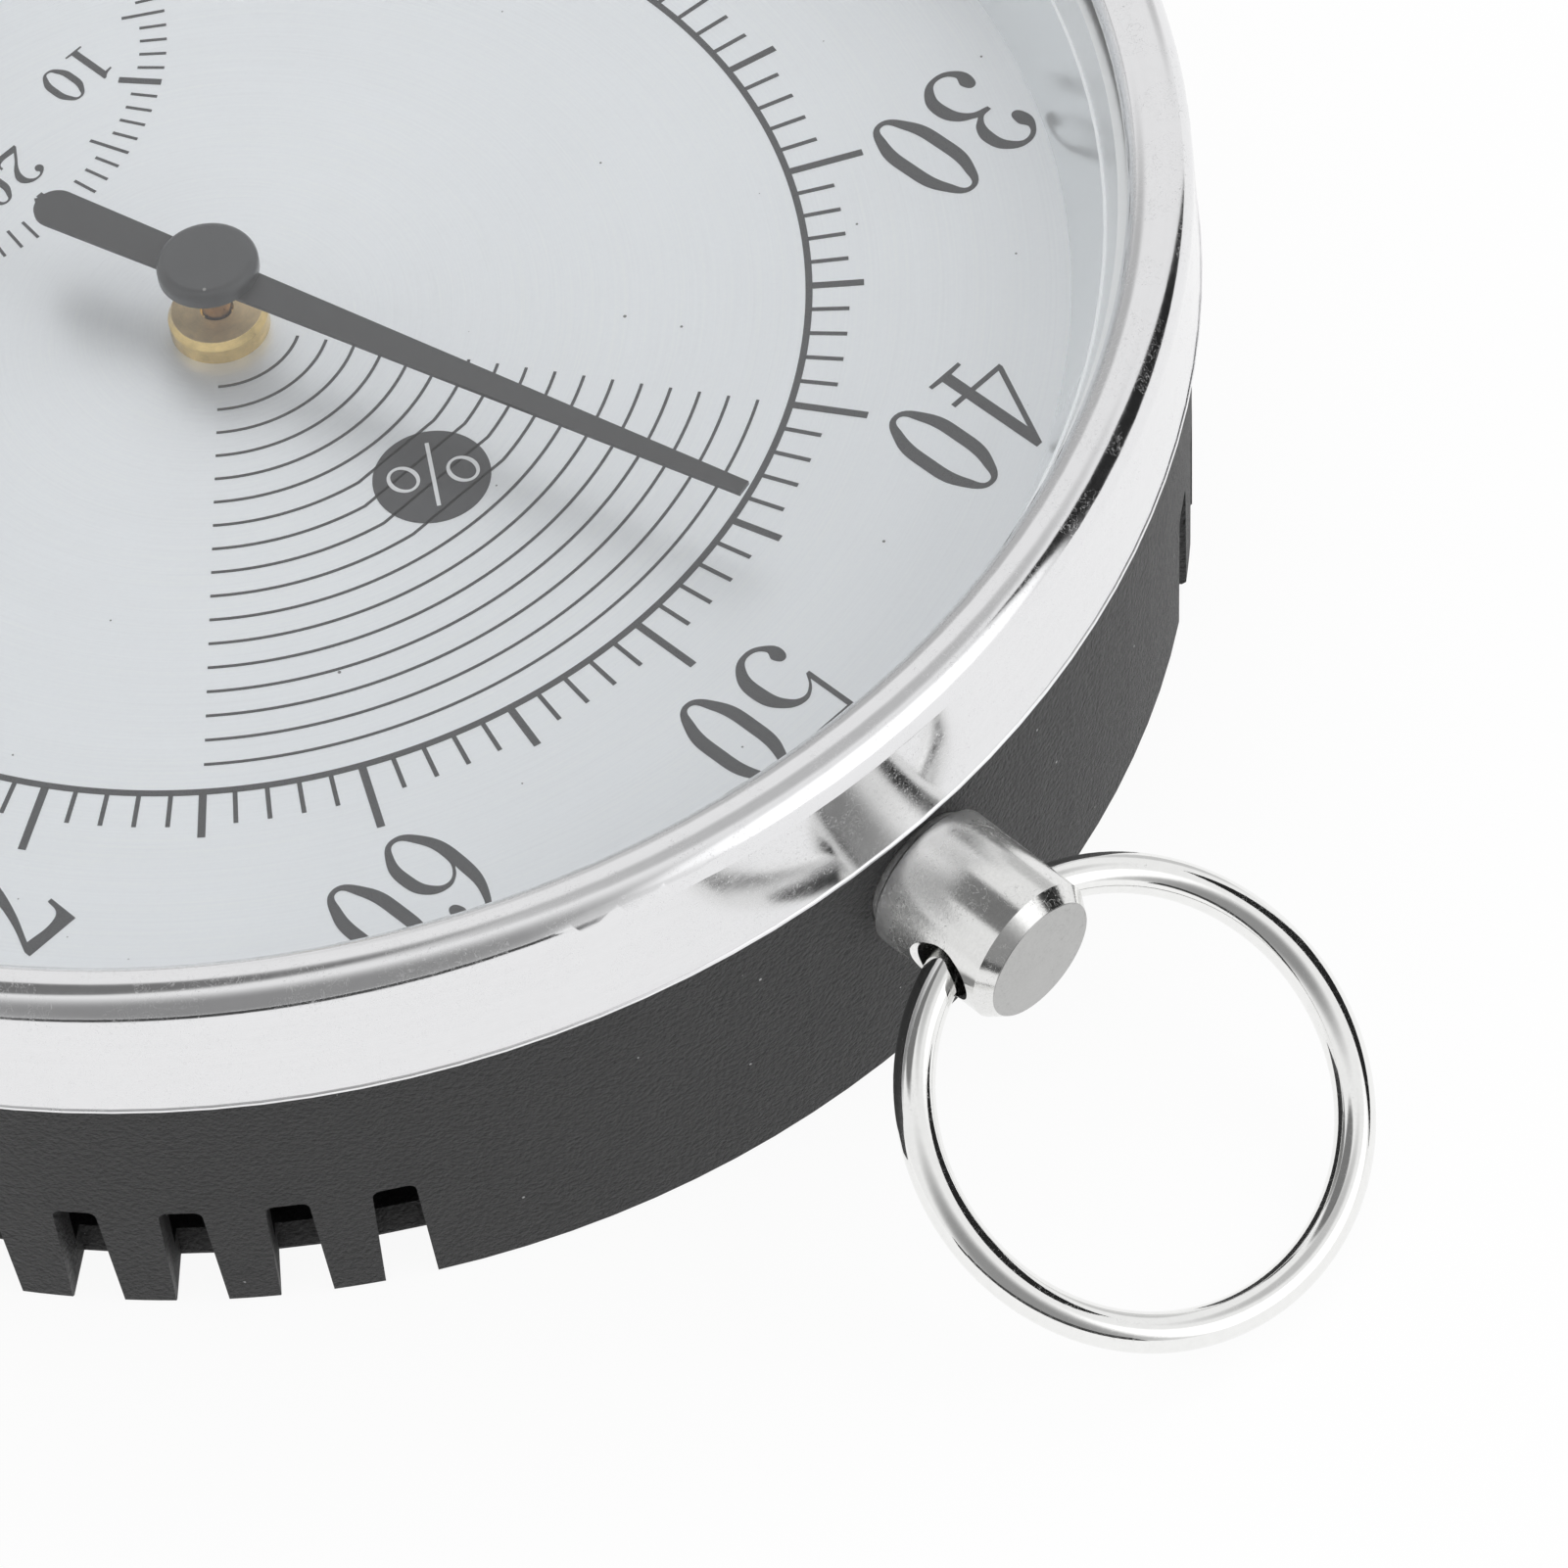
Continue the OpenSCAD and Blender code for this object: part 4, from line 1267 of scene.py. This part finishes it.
    def word(self, text: str, middle: Point, height: float, squeeze: float, gap: float) -> Parts:
        """Places the figures of one number about its middle.

        Args:
            text: the number or sign.
            middle: its centre, mm.
            height: figure height, mm.
            squeeze: width over height, relative to the drawn figures.
            gap: space between figures, in figure units.

        Returns:
            Meshes with their places, in metres.
        """
        tall = height / self.HEIGHT
        wide = tall * squeeze
        total = sum(self.WIDTHS[sign] for sign in text) + gap * (len(text) - 1)
        at = -total / 2
        parts = []
        for sign in text:
            corner = (middle[0] + at * wide, middle[1] - height / 2, middle[2])
            place = from_mm(corner) @ Matrix.Diagonal((wide, tall, 1.0, 1.0))
            parts.append((self.figure(sign), place))
            at += self.WIDTHS[sign] + gap
        return parts


# Sub-assemblies


@dataclass
class HumidityPrint:
    """Ink of the large humidity scale, its fan of lines and its badge. Sizes in mm.

    Figures are shifted from their places as they are in the photograph.
    """

    face_z: float = FACE_Z
    ink: float = INK
    circle_inner: float = SCALE_RADIUS
    circle_width: float = SCALE_LINE
    circle_steps: int = 320
    first_value: int = 10
    last_value: int = 90
    top_value: float = 50.0
    degrees_per_unit: float = 3.0
    tick_ends: tuple[float, float, float] = (42.45, 43.4, 45.0)
    tick_widths: tuple[float, float, float] = (0.31, 0.52, 0.54)
    figure_step: int = 10
    figure_radius: float = 51.4
    figure_height: float = 8.93
    figure_squeeze: float = 1.0
    figure_gap: float = 1.05
    figure_shift: dict[int, tuple[float, float]] = field(default_factory=lambda: {
        30: (0.45, 0.38), 40: (-0.74, 0.35), 60: (-0.31, 0.24), 70: (0.45, -0.93),
    })
    badge_at: tuple[float, float] = PERCENT_AT
    badge_radius: float = 3.96
    badge_steps: int = 96
    loops_at: tuple[tuple[float, float], ...] = ((-1.82, 1.12), (1.42, -1.25))
    loop_size: tuple[float, float] = (2.08, 2.39)
    loop_stroke: tuple[float, float] = (0.3, 0.2)
    slash: tuple[tuple[float, float], ...] = ((-1.79, -2.34), (1.42, 2.16))
    slash_width: float = 0.28
    fan: FanLines = field(default_factory=FanLines)

    def angle(self, value: float) -> float:
        """Angle of a reading, clockwise from the stud, in radians."""
        return math.radians((value - self.top_value) * self.degrees_per_unit)

    def circle(self) -> bpy.types.Object:
        """The line that the marks stand on.

        Returns:
            The piece, an arc with square ends.
        """
        half = 0.5 * self.tick_widths[2] / self.circle_inner
        span = (self.angle(self.first_value) - half, self.angle(self.last_value) + half)
        outer = self.circle_inner + self.circle_width
        mesh = ring_mesh(self.circle_inner, outer, self.ink, self.circle_steps, span)
        mesh.transform(from_mm((0.0, 0.0, self.face_z)))
        return piece_from_mesh("scale_circle", mesh)

    def ticks(self, material: bpy.types.Material) -> bpy.types.Object:
        """The marks of the humidity scale.

        Args:
            material: ink finish.

        Returns:
            The piece.
        """
        first = math.degrees(self.angle(self.first_value))
        foot = self.circle_inner + self.circle_width - MARK_OVERLAP
        row = TickRow(
            "humidity_marks", self.last_value - self.first_value + 1, first, self.degrees_per_unit, foot,
            self.tick_ends, self.tick_widths, (0.0, 0.0, self.face_z), self.ink)
        return row.build(material)

    def numerals(self, figures: Figures) -> bpy.types.Object:
        """The large numbers.

        Args:
            figures: drawn figures.

        Returns:
            The piece.
        """
        parts = []
        for value in range(self.first_value, self.last_value + 1, self.figure_step):
            angle = self.angle(value)
            shift = self.figure_shift.get(value, (0.0, 0.0))
            middle = (self.figure_radius * math.sin(angle) + shift[0],
                      self.figure_radius * math.cos(angle) + shift[1], self.face_z)
            parts += figures.word(str(value), middle, self.figure_height, self.figure_squeeze,
                                  self.figure_gap)
        return piece_from_mesh("humidity_numerals", joined(parts))

    def badge(self) -> bpy.types.Object:
        """The dark disc under the percent sign."""
        mesh = ring_mesh(0.0, self.badge_radius, self.ink, self.badge_steps)
        mesh.transform(from_mm((*self.badge_at, self.face_z)))
        return piece_from_mesh("percent_badge", mesh)

    def sign(self) -> bpy.types.Object:
        """The pale percent sign on the badge.

        Returns:
            The piece: two loops and a slash.
        """
        contours: list[Contour] = []
        for x, y in self.loops_at:
            for stroke in ((0.0, 0.0), self.loop_stroke):
                wide, tall = (size / 2 - part for size, part in zip(self.loop_size, stroke))
                contours.append([(x, y + tall), (x + wide, y), (x, y - tall), (x - wide, y)])
        foot, top = (Vector(end) for end in self.slash)
        side = (top - foot).orthogonal().normalized() * self.slash_width / 2
        contours.append([(*corner, 1) for corner in (foot + side, top + side, top - side, foot - side)])
        mesh = outline_mesh(contours, self.ink)
        mesh.transform(from_mm((*self.badge_at, self.face_z + self.ink)))
        return piece_from_mesh("percent_sign", mesh)

    def build(self, figures: Figures, finishes: Finishes) -> list[bpy.types.Object]:
        """Makes every piece of the humidity print.

        Args:
            figures: drawn figures.
            finishes: the finishes.

        Returns:
            The pieces.
        """
        ink = finishes.made["scale_ink"]
        dark = [self.circle(), self.numerals(figures), self.badge()]
        for piece in dark:
            finishes.put(piece, "scale_ink")
        sign = self.sign()
        finishes.put(sign, "sign_white")
        return [*dark, self.ticks(ink), self.fan.build(self.face_z, self.ink, ink), sign]


@dataclass
class TemperaturePrint:
    """Ink of the small temperature scale and its badge. Sizes in mm.

    Figures are shifted from their places as they are in the photograph.
    """

    face_z: float = FACE_Z
    ink: float = INK
    axis_y: float = SUB_AXIS[1]
    lowest: int = -20
    highest: int = 60
    top_value: float = 20.0
    degrees_per_unit: float = 3.6
    outer: float = 21.29
    tick_ends: tuple[float, float, float] = (19.42, 18.28, 18.28)
    tick_widths: tuple[float, float, float] = (0.22, 0.24, 0.5)
    figure_step: int = 10
    figure_radius: float = 15.27
    figure_height: float = 3.5
    figure_squeeze: float = 1.36
    figure_gap: float = 1.0
    figure_shift: dict[int, tuple[float, float]] = field(default_factory=lambda: {
        10: (-0.18, -0.18), 20: (0.46, 0.11),
    })
    badge_drop: float = 8.6
    badge_radius: float = 2.7
    badge_steps: int = 72
    sign_height: float = 2.6
    sign_squeeze: float = 1.5
    sign_gap: float = 0.5

    def angle(self, value: float) -> float:
        """Angle of a reading, clockwise from the stud, in radians."""
        return math.radians((value - self.top_value) * self.degrees_per_unit)

    def build(self, figures: Figures, finishes: Finishes) -> list[bpy.types.Object]:
        """Makes every piece of the temperature print.

        Args:
            figures: drawn figures.
            finishes: the finishes.

        Returns:
            The pieces.
        """
        row = TickRow(
            "temperature_marks", self.highest - self.lowest + 1, math.degrees(self.angle(self.lowest)),
            self.degrees_per_unit, self.outer, self.tick_ends, self.tick_widths,
            (0.0, self.axis_y, self.face_z), self.ink)
        marks = row.build(finishes.made["scale_ink"])
        parts = []
        for value in range(self.lowest, self.highest + 1, self.figure_step):
            angle = self.angle(value)
            shift = self.figure_shift.get(value, (0.0, 0.0))
            middle = (self.figure_radius * math.sin(angle) + shift[0],
                      self.axis_y + self.figure_radius * math.cos(angle) + shift[1], self.face_z)
            parts += figures.word(str(value), middle, self.figure_height, self.figure_squeeze,
                                  self.figure_gap)
        numerals = piece_from_mesh("temperature_numerals", joined(parts))
        badge = ring_mesh(0.0, self.badge_radius, self.ink, self.badge_steps)
        at = (0.0, self.axis_y - self.badge_drop, self.face_z)
        badge.transform(from_mm(at))
        disc = piece_from_mesh("celsius_badge", badge)
        middle = (at[0], at[1], self.face_z + self.ink)
        letters = figures.word("oC", middle, self.sign_height, self.sign_squeeze, self.sign_gap)
        sign = piece_from_mesh("celsius_sign", joined(letters))
        for piece in (numerals, disc):
            finishes.put(piece, "scale_ink")
        finishes.put(sign, "sign_white")
        return [marks, numerals, disc, sign]


@dataclass
class Dial:
    """The dial plate's print, as thin ink on the brushed face."""

    ink: float = INK
    humidity: HumidityPrint = field(default_factory=HumidityPrint)
    temperature: TemperaturePrint = field(default_factory=TemperaturePrint)

    def build(self, finishes: Finishes) -> None:
        """Makes the print and rides it on the housing.

        Args:
            finishes: the finishes.
        """
        figures = Figures(self.ink)
        pieces = self.humidity.build(figures, finishes) + self.temperature.build(figures, finishes)
        for piece in pieces:
            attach(piece, Body.HOUSING.value)
            LOG.info("%s: %d faces", piece.name, len(piece.data.polygons))


@dataclass
class HardPieces:
    """The turned, moulded and stamped pieces, which keep their CAD shape and get their finish."""

    finish_of: dict[str, str] = field(default_factory=lambda: {
        "case": "case_plastic", "bezel": "bezel_metal", "glass": "clear_glass", "glass_gasket": "seal",
        "spacer_ring": "spacer_grey", "dial_plate": "dial_metal", "hanging_stud": "stud_nickel",
        "hanging_ring": "ring_nickel", "stud_washer": "steel", "stud_screw": "steel",
        "humidity_coil": "moisture_strip", "temperature_coil": "bimetal_strip",
        "temperature_bush": "brass_sub",
    })
    finish_of_ending: dict[str, str] = field(default_factory=lambda: {
        "pointer_boss": "boss_brass", "pointer_cap": "cap_black", "pointer": "pointer_black",
        "arbor": "steel", "pillar_screws": "steel", "bar": "rolled_brass", "adjuster": "rolled_brass",
    })
    finish_of_others: str = "brass"

    def build(self, finishes: Finishes) -> None:
        """Gives each CAD node its finish.

        Args:
            finishes: the finishes.
        """
        for name, node in sorted(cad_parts.items()):
            fitting = [finish for ending, finish in self.finish_of_ending.items() if name.endswith(ending)]
            chosen = self.finish_of.get(name, fitting[0] if fitting else self.finish_of_others)
            finishes.put(node, chosen)
            LOG.info("%s: %s", name, chosen)


@dataclass
class SealRing:
    """The pale seal under the glass, with the sliver of air above it that lets light in.

    Sizes in mm. Its inner wall widens from the foot to the top.
    """

    node: str = "glass_gasket"
    foot_radius: float = 60.0
    top_radius: float = 60.9
    air: float = 0.04
    steps: int = 360
    sharp_deg: float = 30.0

    def build(self, finishes: Finishes) -> None:
        """Makes the ring in the place of the CAD node.

        Args:
            finishes: the finishes.
        """
        low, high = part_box(self.node)
        outer = high.x / MM
        thickness = (high.z - low.z) / MM - self.air
        mesh = ring_mesh(self.foot_radius, outer, thickness, self.steps)
        for vertex in mesh.vertices:
            if vertex.co.z > thickness / 2 and vertex.co.xy.length < (self.foot_radius + outer) / 2:
                vertex.co.xy *= self.top_radius / self.foot_radius
        mesh.transform(from_mm((0.0, 0.0, low.z / MM)))
        mesh.shade_smooth()
        mesh.set_sharp_from_angle(angle=math.radians(self.sharp_deg))
        ring = piece_from_mesh("seal_ring", mesh)
        finishes.put(ring, "seal")
        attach(ring, Body.HOUSING.value)
        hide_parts(self.node)
        LOG.info("%s: %d faces", ring.name, len(ring.data.polygons))


# Studio


@dataclass
class SoftBox:
    """A square soft lamp aimed at the instrument."""

    name: str
    toward: Point
    distance: float
    size: float
    share: float

    def build(self, target: Vector) -> None:
        """Places the lamp.

        Args:
            target: point that it faces, metres.
        """
        data = bpy.data.lights.new(self.name, "AREA")
        data.shape, data.size = "SQUARE", self.size
        data.energy = self.share * math.pi ** 2 * self.distance ** 2
        lamp = bpy.data.objects.new(self.name, data)
        bpy.context.scene.collection.objects.link(lamp)
        direction = Vector(self.toward).normalized()
        lamp.location = target + direction * self.distance
        lamp.rotation_mode = "QUATERNION"
        lamp.rotation_quaternion = direction.to_track_quat("Z", "Y")
        lamp.visible_glossy = lamp.visible_transmission = False


@dataclass
class Flag:
    """A dark card that only reflections see, so that bright metal shows its form."""

    name: str
    corners: tuple[Point, Point, Point, Point]
    tone: float = 0.02

    def build(self) -> None:
        """Makes the card as part of the stage."""
        mesh = bpy.data.meshes.new(self.name)
        mesh.from_pydata(list(self.corners), [], [(0, 1, 2, 3)])
        card = piece_from_mesh(self.name, mesh)
        material, w, shader, out = new_material(self.name)
        glow = w.add("ShaderNodeEmission")
        w.feed(glow.inputs[0], (self.tone, self.tone, self.tone, 1.0))
        w.feed(out.inputs["Surface"], glow.outputs[0])
        w.tree.nodes.remove(shader)
        card.data.materials.append(material)
        card.visible_camera = card.visible_diffuse = card.visible_shadow = False
        card.visible_transmission = False
        card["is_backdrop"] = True


@dataclass(frozen=True)
class Zone:
    """A round zone of the surroundings that reflections see lighter or darker."""

    azimuth_deg: float
    elevation_deg: float
    inner_deg: float
    outer_deg: float
    gain: float

    def factor(self, w: Wiring, toward: bpy.types.NodeSocket) -> bpy.types.NodeSocket:
        """What the zone adds to the level in a direction.

        Args:
            w: the world's wiring.
            toward: direction that is looked in.

        Returns:
            The number to add.
        """
        azimuth, elevation = math.radians(self.azimuth_deg), math.radians(self.elevation_deg)
        flat = math.cos(elevation)
        middle = (flat * math.sin(azimuth), flat * math.cos(azimuth), math.sin(elevation))
        near = w.vector("DOT_PRODUCT", toward, middle, out=1)
        start, end = math.cos(math.radians(self.outer_deg)), math.cos(math.radians(self.inner_deg))
        return w.step(near, start, end, 0.0, self.gain)


@dataclass
class Studio:
    """White floor, soft light and the camera at the photograph's angle.

    The camera's place is in mm and its focal length in pixels of the photograph. The other
    lengths are in metres. Tones and levels are shares of white.
    """

    camera_at: Point = (227.7, 334.0, 477.3)
    camera_right: Point = (-0.6973011, 0.711123, -0.0898625)
    camera_forward: Point = (-0.3883214, -0.4801665, -0.7865409)
    focal_px: float = 9215.3
    frame_px: float = 1601.0
    sensor_mm: float = 36.0
    clip: tuple[float, float] = (0.01, 20.0)
    lamp_target: Point = (0.0, 0.02, 0.02)
    boxes: tuple[SoftBox, ...] = (
        SoftBox("soft_box_back", (-3.9, -3.3, 5.4), 1.1, 0.9, 0.28),
        SoftBox("soft_box_right", (-5.0, 7.0, 6.5), 1.2, 0.7, 0.24),
    )
    flags: tuple[Flag, ...] = (
        Flag("flag_right", ((-0.89, 0.14, 0.01), (-0.62, 0.62, 0.01), (-0.62, 0.62, 0.8),
                            (-0.82, 0.28, 0.7))),
        Flag("flag_front", ((0.05, 0.235, 0.001), (0.235, 0.08, 0.001), (0.235, 0.08, 0.03),
                            (0.05, 0.235, 0.03)), 0.06),
    )
    # The floor: half its side, how far it lies under the instrument, its tone to the eye and to
    # diffuse light, and the share of its own white that the eye sees.
    reach: float = 6.0
    drop: float = 0.0001
    floor_roughness: float = 0.9
    floor_tone: float = 0.9
    bounce: float = 0.5
    floor_glow: float = 0.93
    # The surroundings as light, and what reflections see of them.
    ambient: float = 0.76
    level: float = 0.92
    least_level: float = 0.08
    zones: tuple[Zone, ...] = (
        Zone(45.0, 24.0, 14.0, 52.0, -0.62),
        Zone(160.0, 66.0, 17.0, 25.0, -0.72),
        Zone(-20.0, 20.0, 18.0, 28.0, 0.5),
        Zone(-75.0, 70.0, 10.0, 24.0, -0.35),
        Zone(-110.0, 12.0, 8.0, 18.0, -0.3),
        Zone(-165.0, 10.0, 10.0, 22.0, -0.4),
    )

    def rays(self, w: Wiring) -> tuple[bpy.types.NodeSocket, bpy.types.NodeSocket]:
        """Which rays are looked along.

        Args:
            w: the tree's wiring.

        Returns:
            Socket that is 1 for the camera's rays, and socket that is 1 for these and for
            reflected and refracted ones.
        """
        path = w.add("ShaderNodeLightPath")
        camera = path.outputs["Is Camera Ray"]
        seen = w.math("MAXIMUM", camera, path.outputs["Is Glossy Ray"])
        return camera, w.math("MAXIMUM", seen, path.outputs["Is Transmission Ray"])

    def floor(self) -> None:
        """A wide pale floor that shows white and keeps a soft shadow."""
        mesh = bpy.data.meshes.new("floor")
        reach = self.reach
        square = [(-reach, -reach, 0), (reach, -reach, 0), (reach, reach, 0), (-reach, reach, 0)]
        mesh.from_pydata(square, [], [(0, 1, 2, 3)])
        floor = piece_from_mesh("floor", mesh)
        material, w, shader, out = new_material("floor_white")
        shader.inputs["Roughness"].default_value = self.floor_roughness
        shader.inputs["Specular IOR Level"].default_value = 0.0
        glow = w.add("ShaderNodeEmission")
        _, seen = self.rays(w)
        w.feed(glow.inputs["Strength"], 1.0)
        dim, pale = ((tone, tone, tone, 1.0) for tone in (self.bounce, self.floor_tone))
        w.feed(shader.inputs["Base Color"], w.blend(seen, dim, pale))
        w.end_in_mix(w.math("MULTIPLY", seen, self.floor_glow), shader, glow, out)
        floor.data.materials.append(material)
        floor.location.z = -self.drop
        floor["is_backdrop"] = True

    def world(self) -> None:
        """White to the eye and to reflections, softer as light."""
        world = bpy.data.worlds.new("studio")
        bpy.context.scene.world = world
        world.use_nodes = True
        w = Wiring(world.node_tree)
        nodes = world.node_tree.nodes
        soft = nodes["Background"]
        soft.inputs[0].default_value = (1.0, 1.0, 1.0, 1.0)
        soft.inputs[1].default_value = self.ambient
        camera, seen = self.rays(w)
        toward = w.add("ShaderNodeTexCoord").outputs["Generated"]
        shown: bpy.types.NodeSocket | float = self.level
        for zone in self.zones:
            shown = w.math("ADD", shown, zone.factor(w, toward))
        white = w.add("ShaderNodeBackground")
        w.feed(white.inputs[0], (1.0, 1.0, 1.0, 1.0))
        least = w.math("MAXIMUM", shown, self.least_level)
        w.feed(white.inputs[1], w.math("MAXIMUM", least, camera))
        w.end_in_mix(seen, soft, white, nodes["World Output"])

    def camera(self) -> None:
        """The camera, rolled as the photograph is."""
        data = bpy.data.cameras.new("camera")
        data.sensor_width = self.sensor_mm
        data.lens = self.focal_px * self.sensor_mm / self.frame_px
        data.clip_start, data.clip_end = self.clip
        camera = bpy.data.objects.new("camera", data)
        bpy.context.scene.collection.objects.link(camera)
        forward = Vector(self.camera_forward).normalized()
        right = Vector(self.camera_right)
        right = (right - forward * right.dot(forward)).normalized()
        up = right.cross(forward)
        turn = Matrix((right, up, -forward)).transposed()
        camera.matrix_world = Matrix.Translation(Vector(self.camera_at) * MM) @ turn.to_4x4()
        bpy.context.scene.camera = camera

    def build(self) -> None:
        """Makes floor, world, lamps, cards and camera."""
        self.camera()
        self.floor()
        self.world()
        for box in self.boxes:
            box.build(Vector(self.lamp_target))
        for flag in self.flags:
            flag.build()
        bpy.context.scene.view_settings.view_transform = "Standard"


def corners(box: tuple[Vector, Vector]) -> list[list[float]]:
    """A box as plain lists of numbers."""
    return [[float(value) for value in corner] for corner in box]


def main() -> None:
    """Builds the whole scene over the loaded frame."""
    logging.basicConfig(level=logging.INFO, format="%(name)s %(message)s")
    cad_box = corners(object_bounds())
    finishes = Finishes()
    Studio().build()
    HardPieces().build(finishes)
    SealRing().build(finishes)
    Dial().build(finishes)
    {"cad": cad_box, "visual": corners(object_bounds())}


if __name__ == "__main__":
    main()
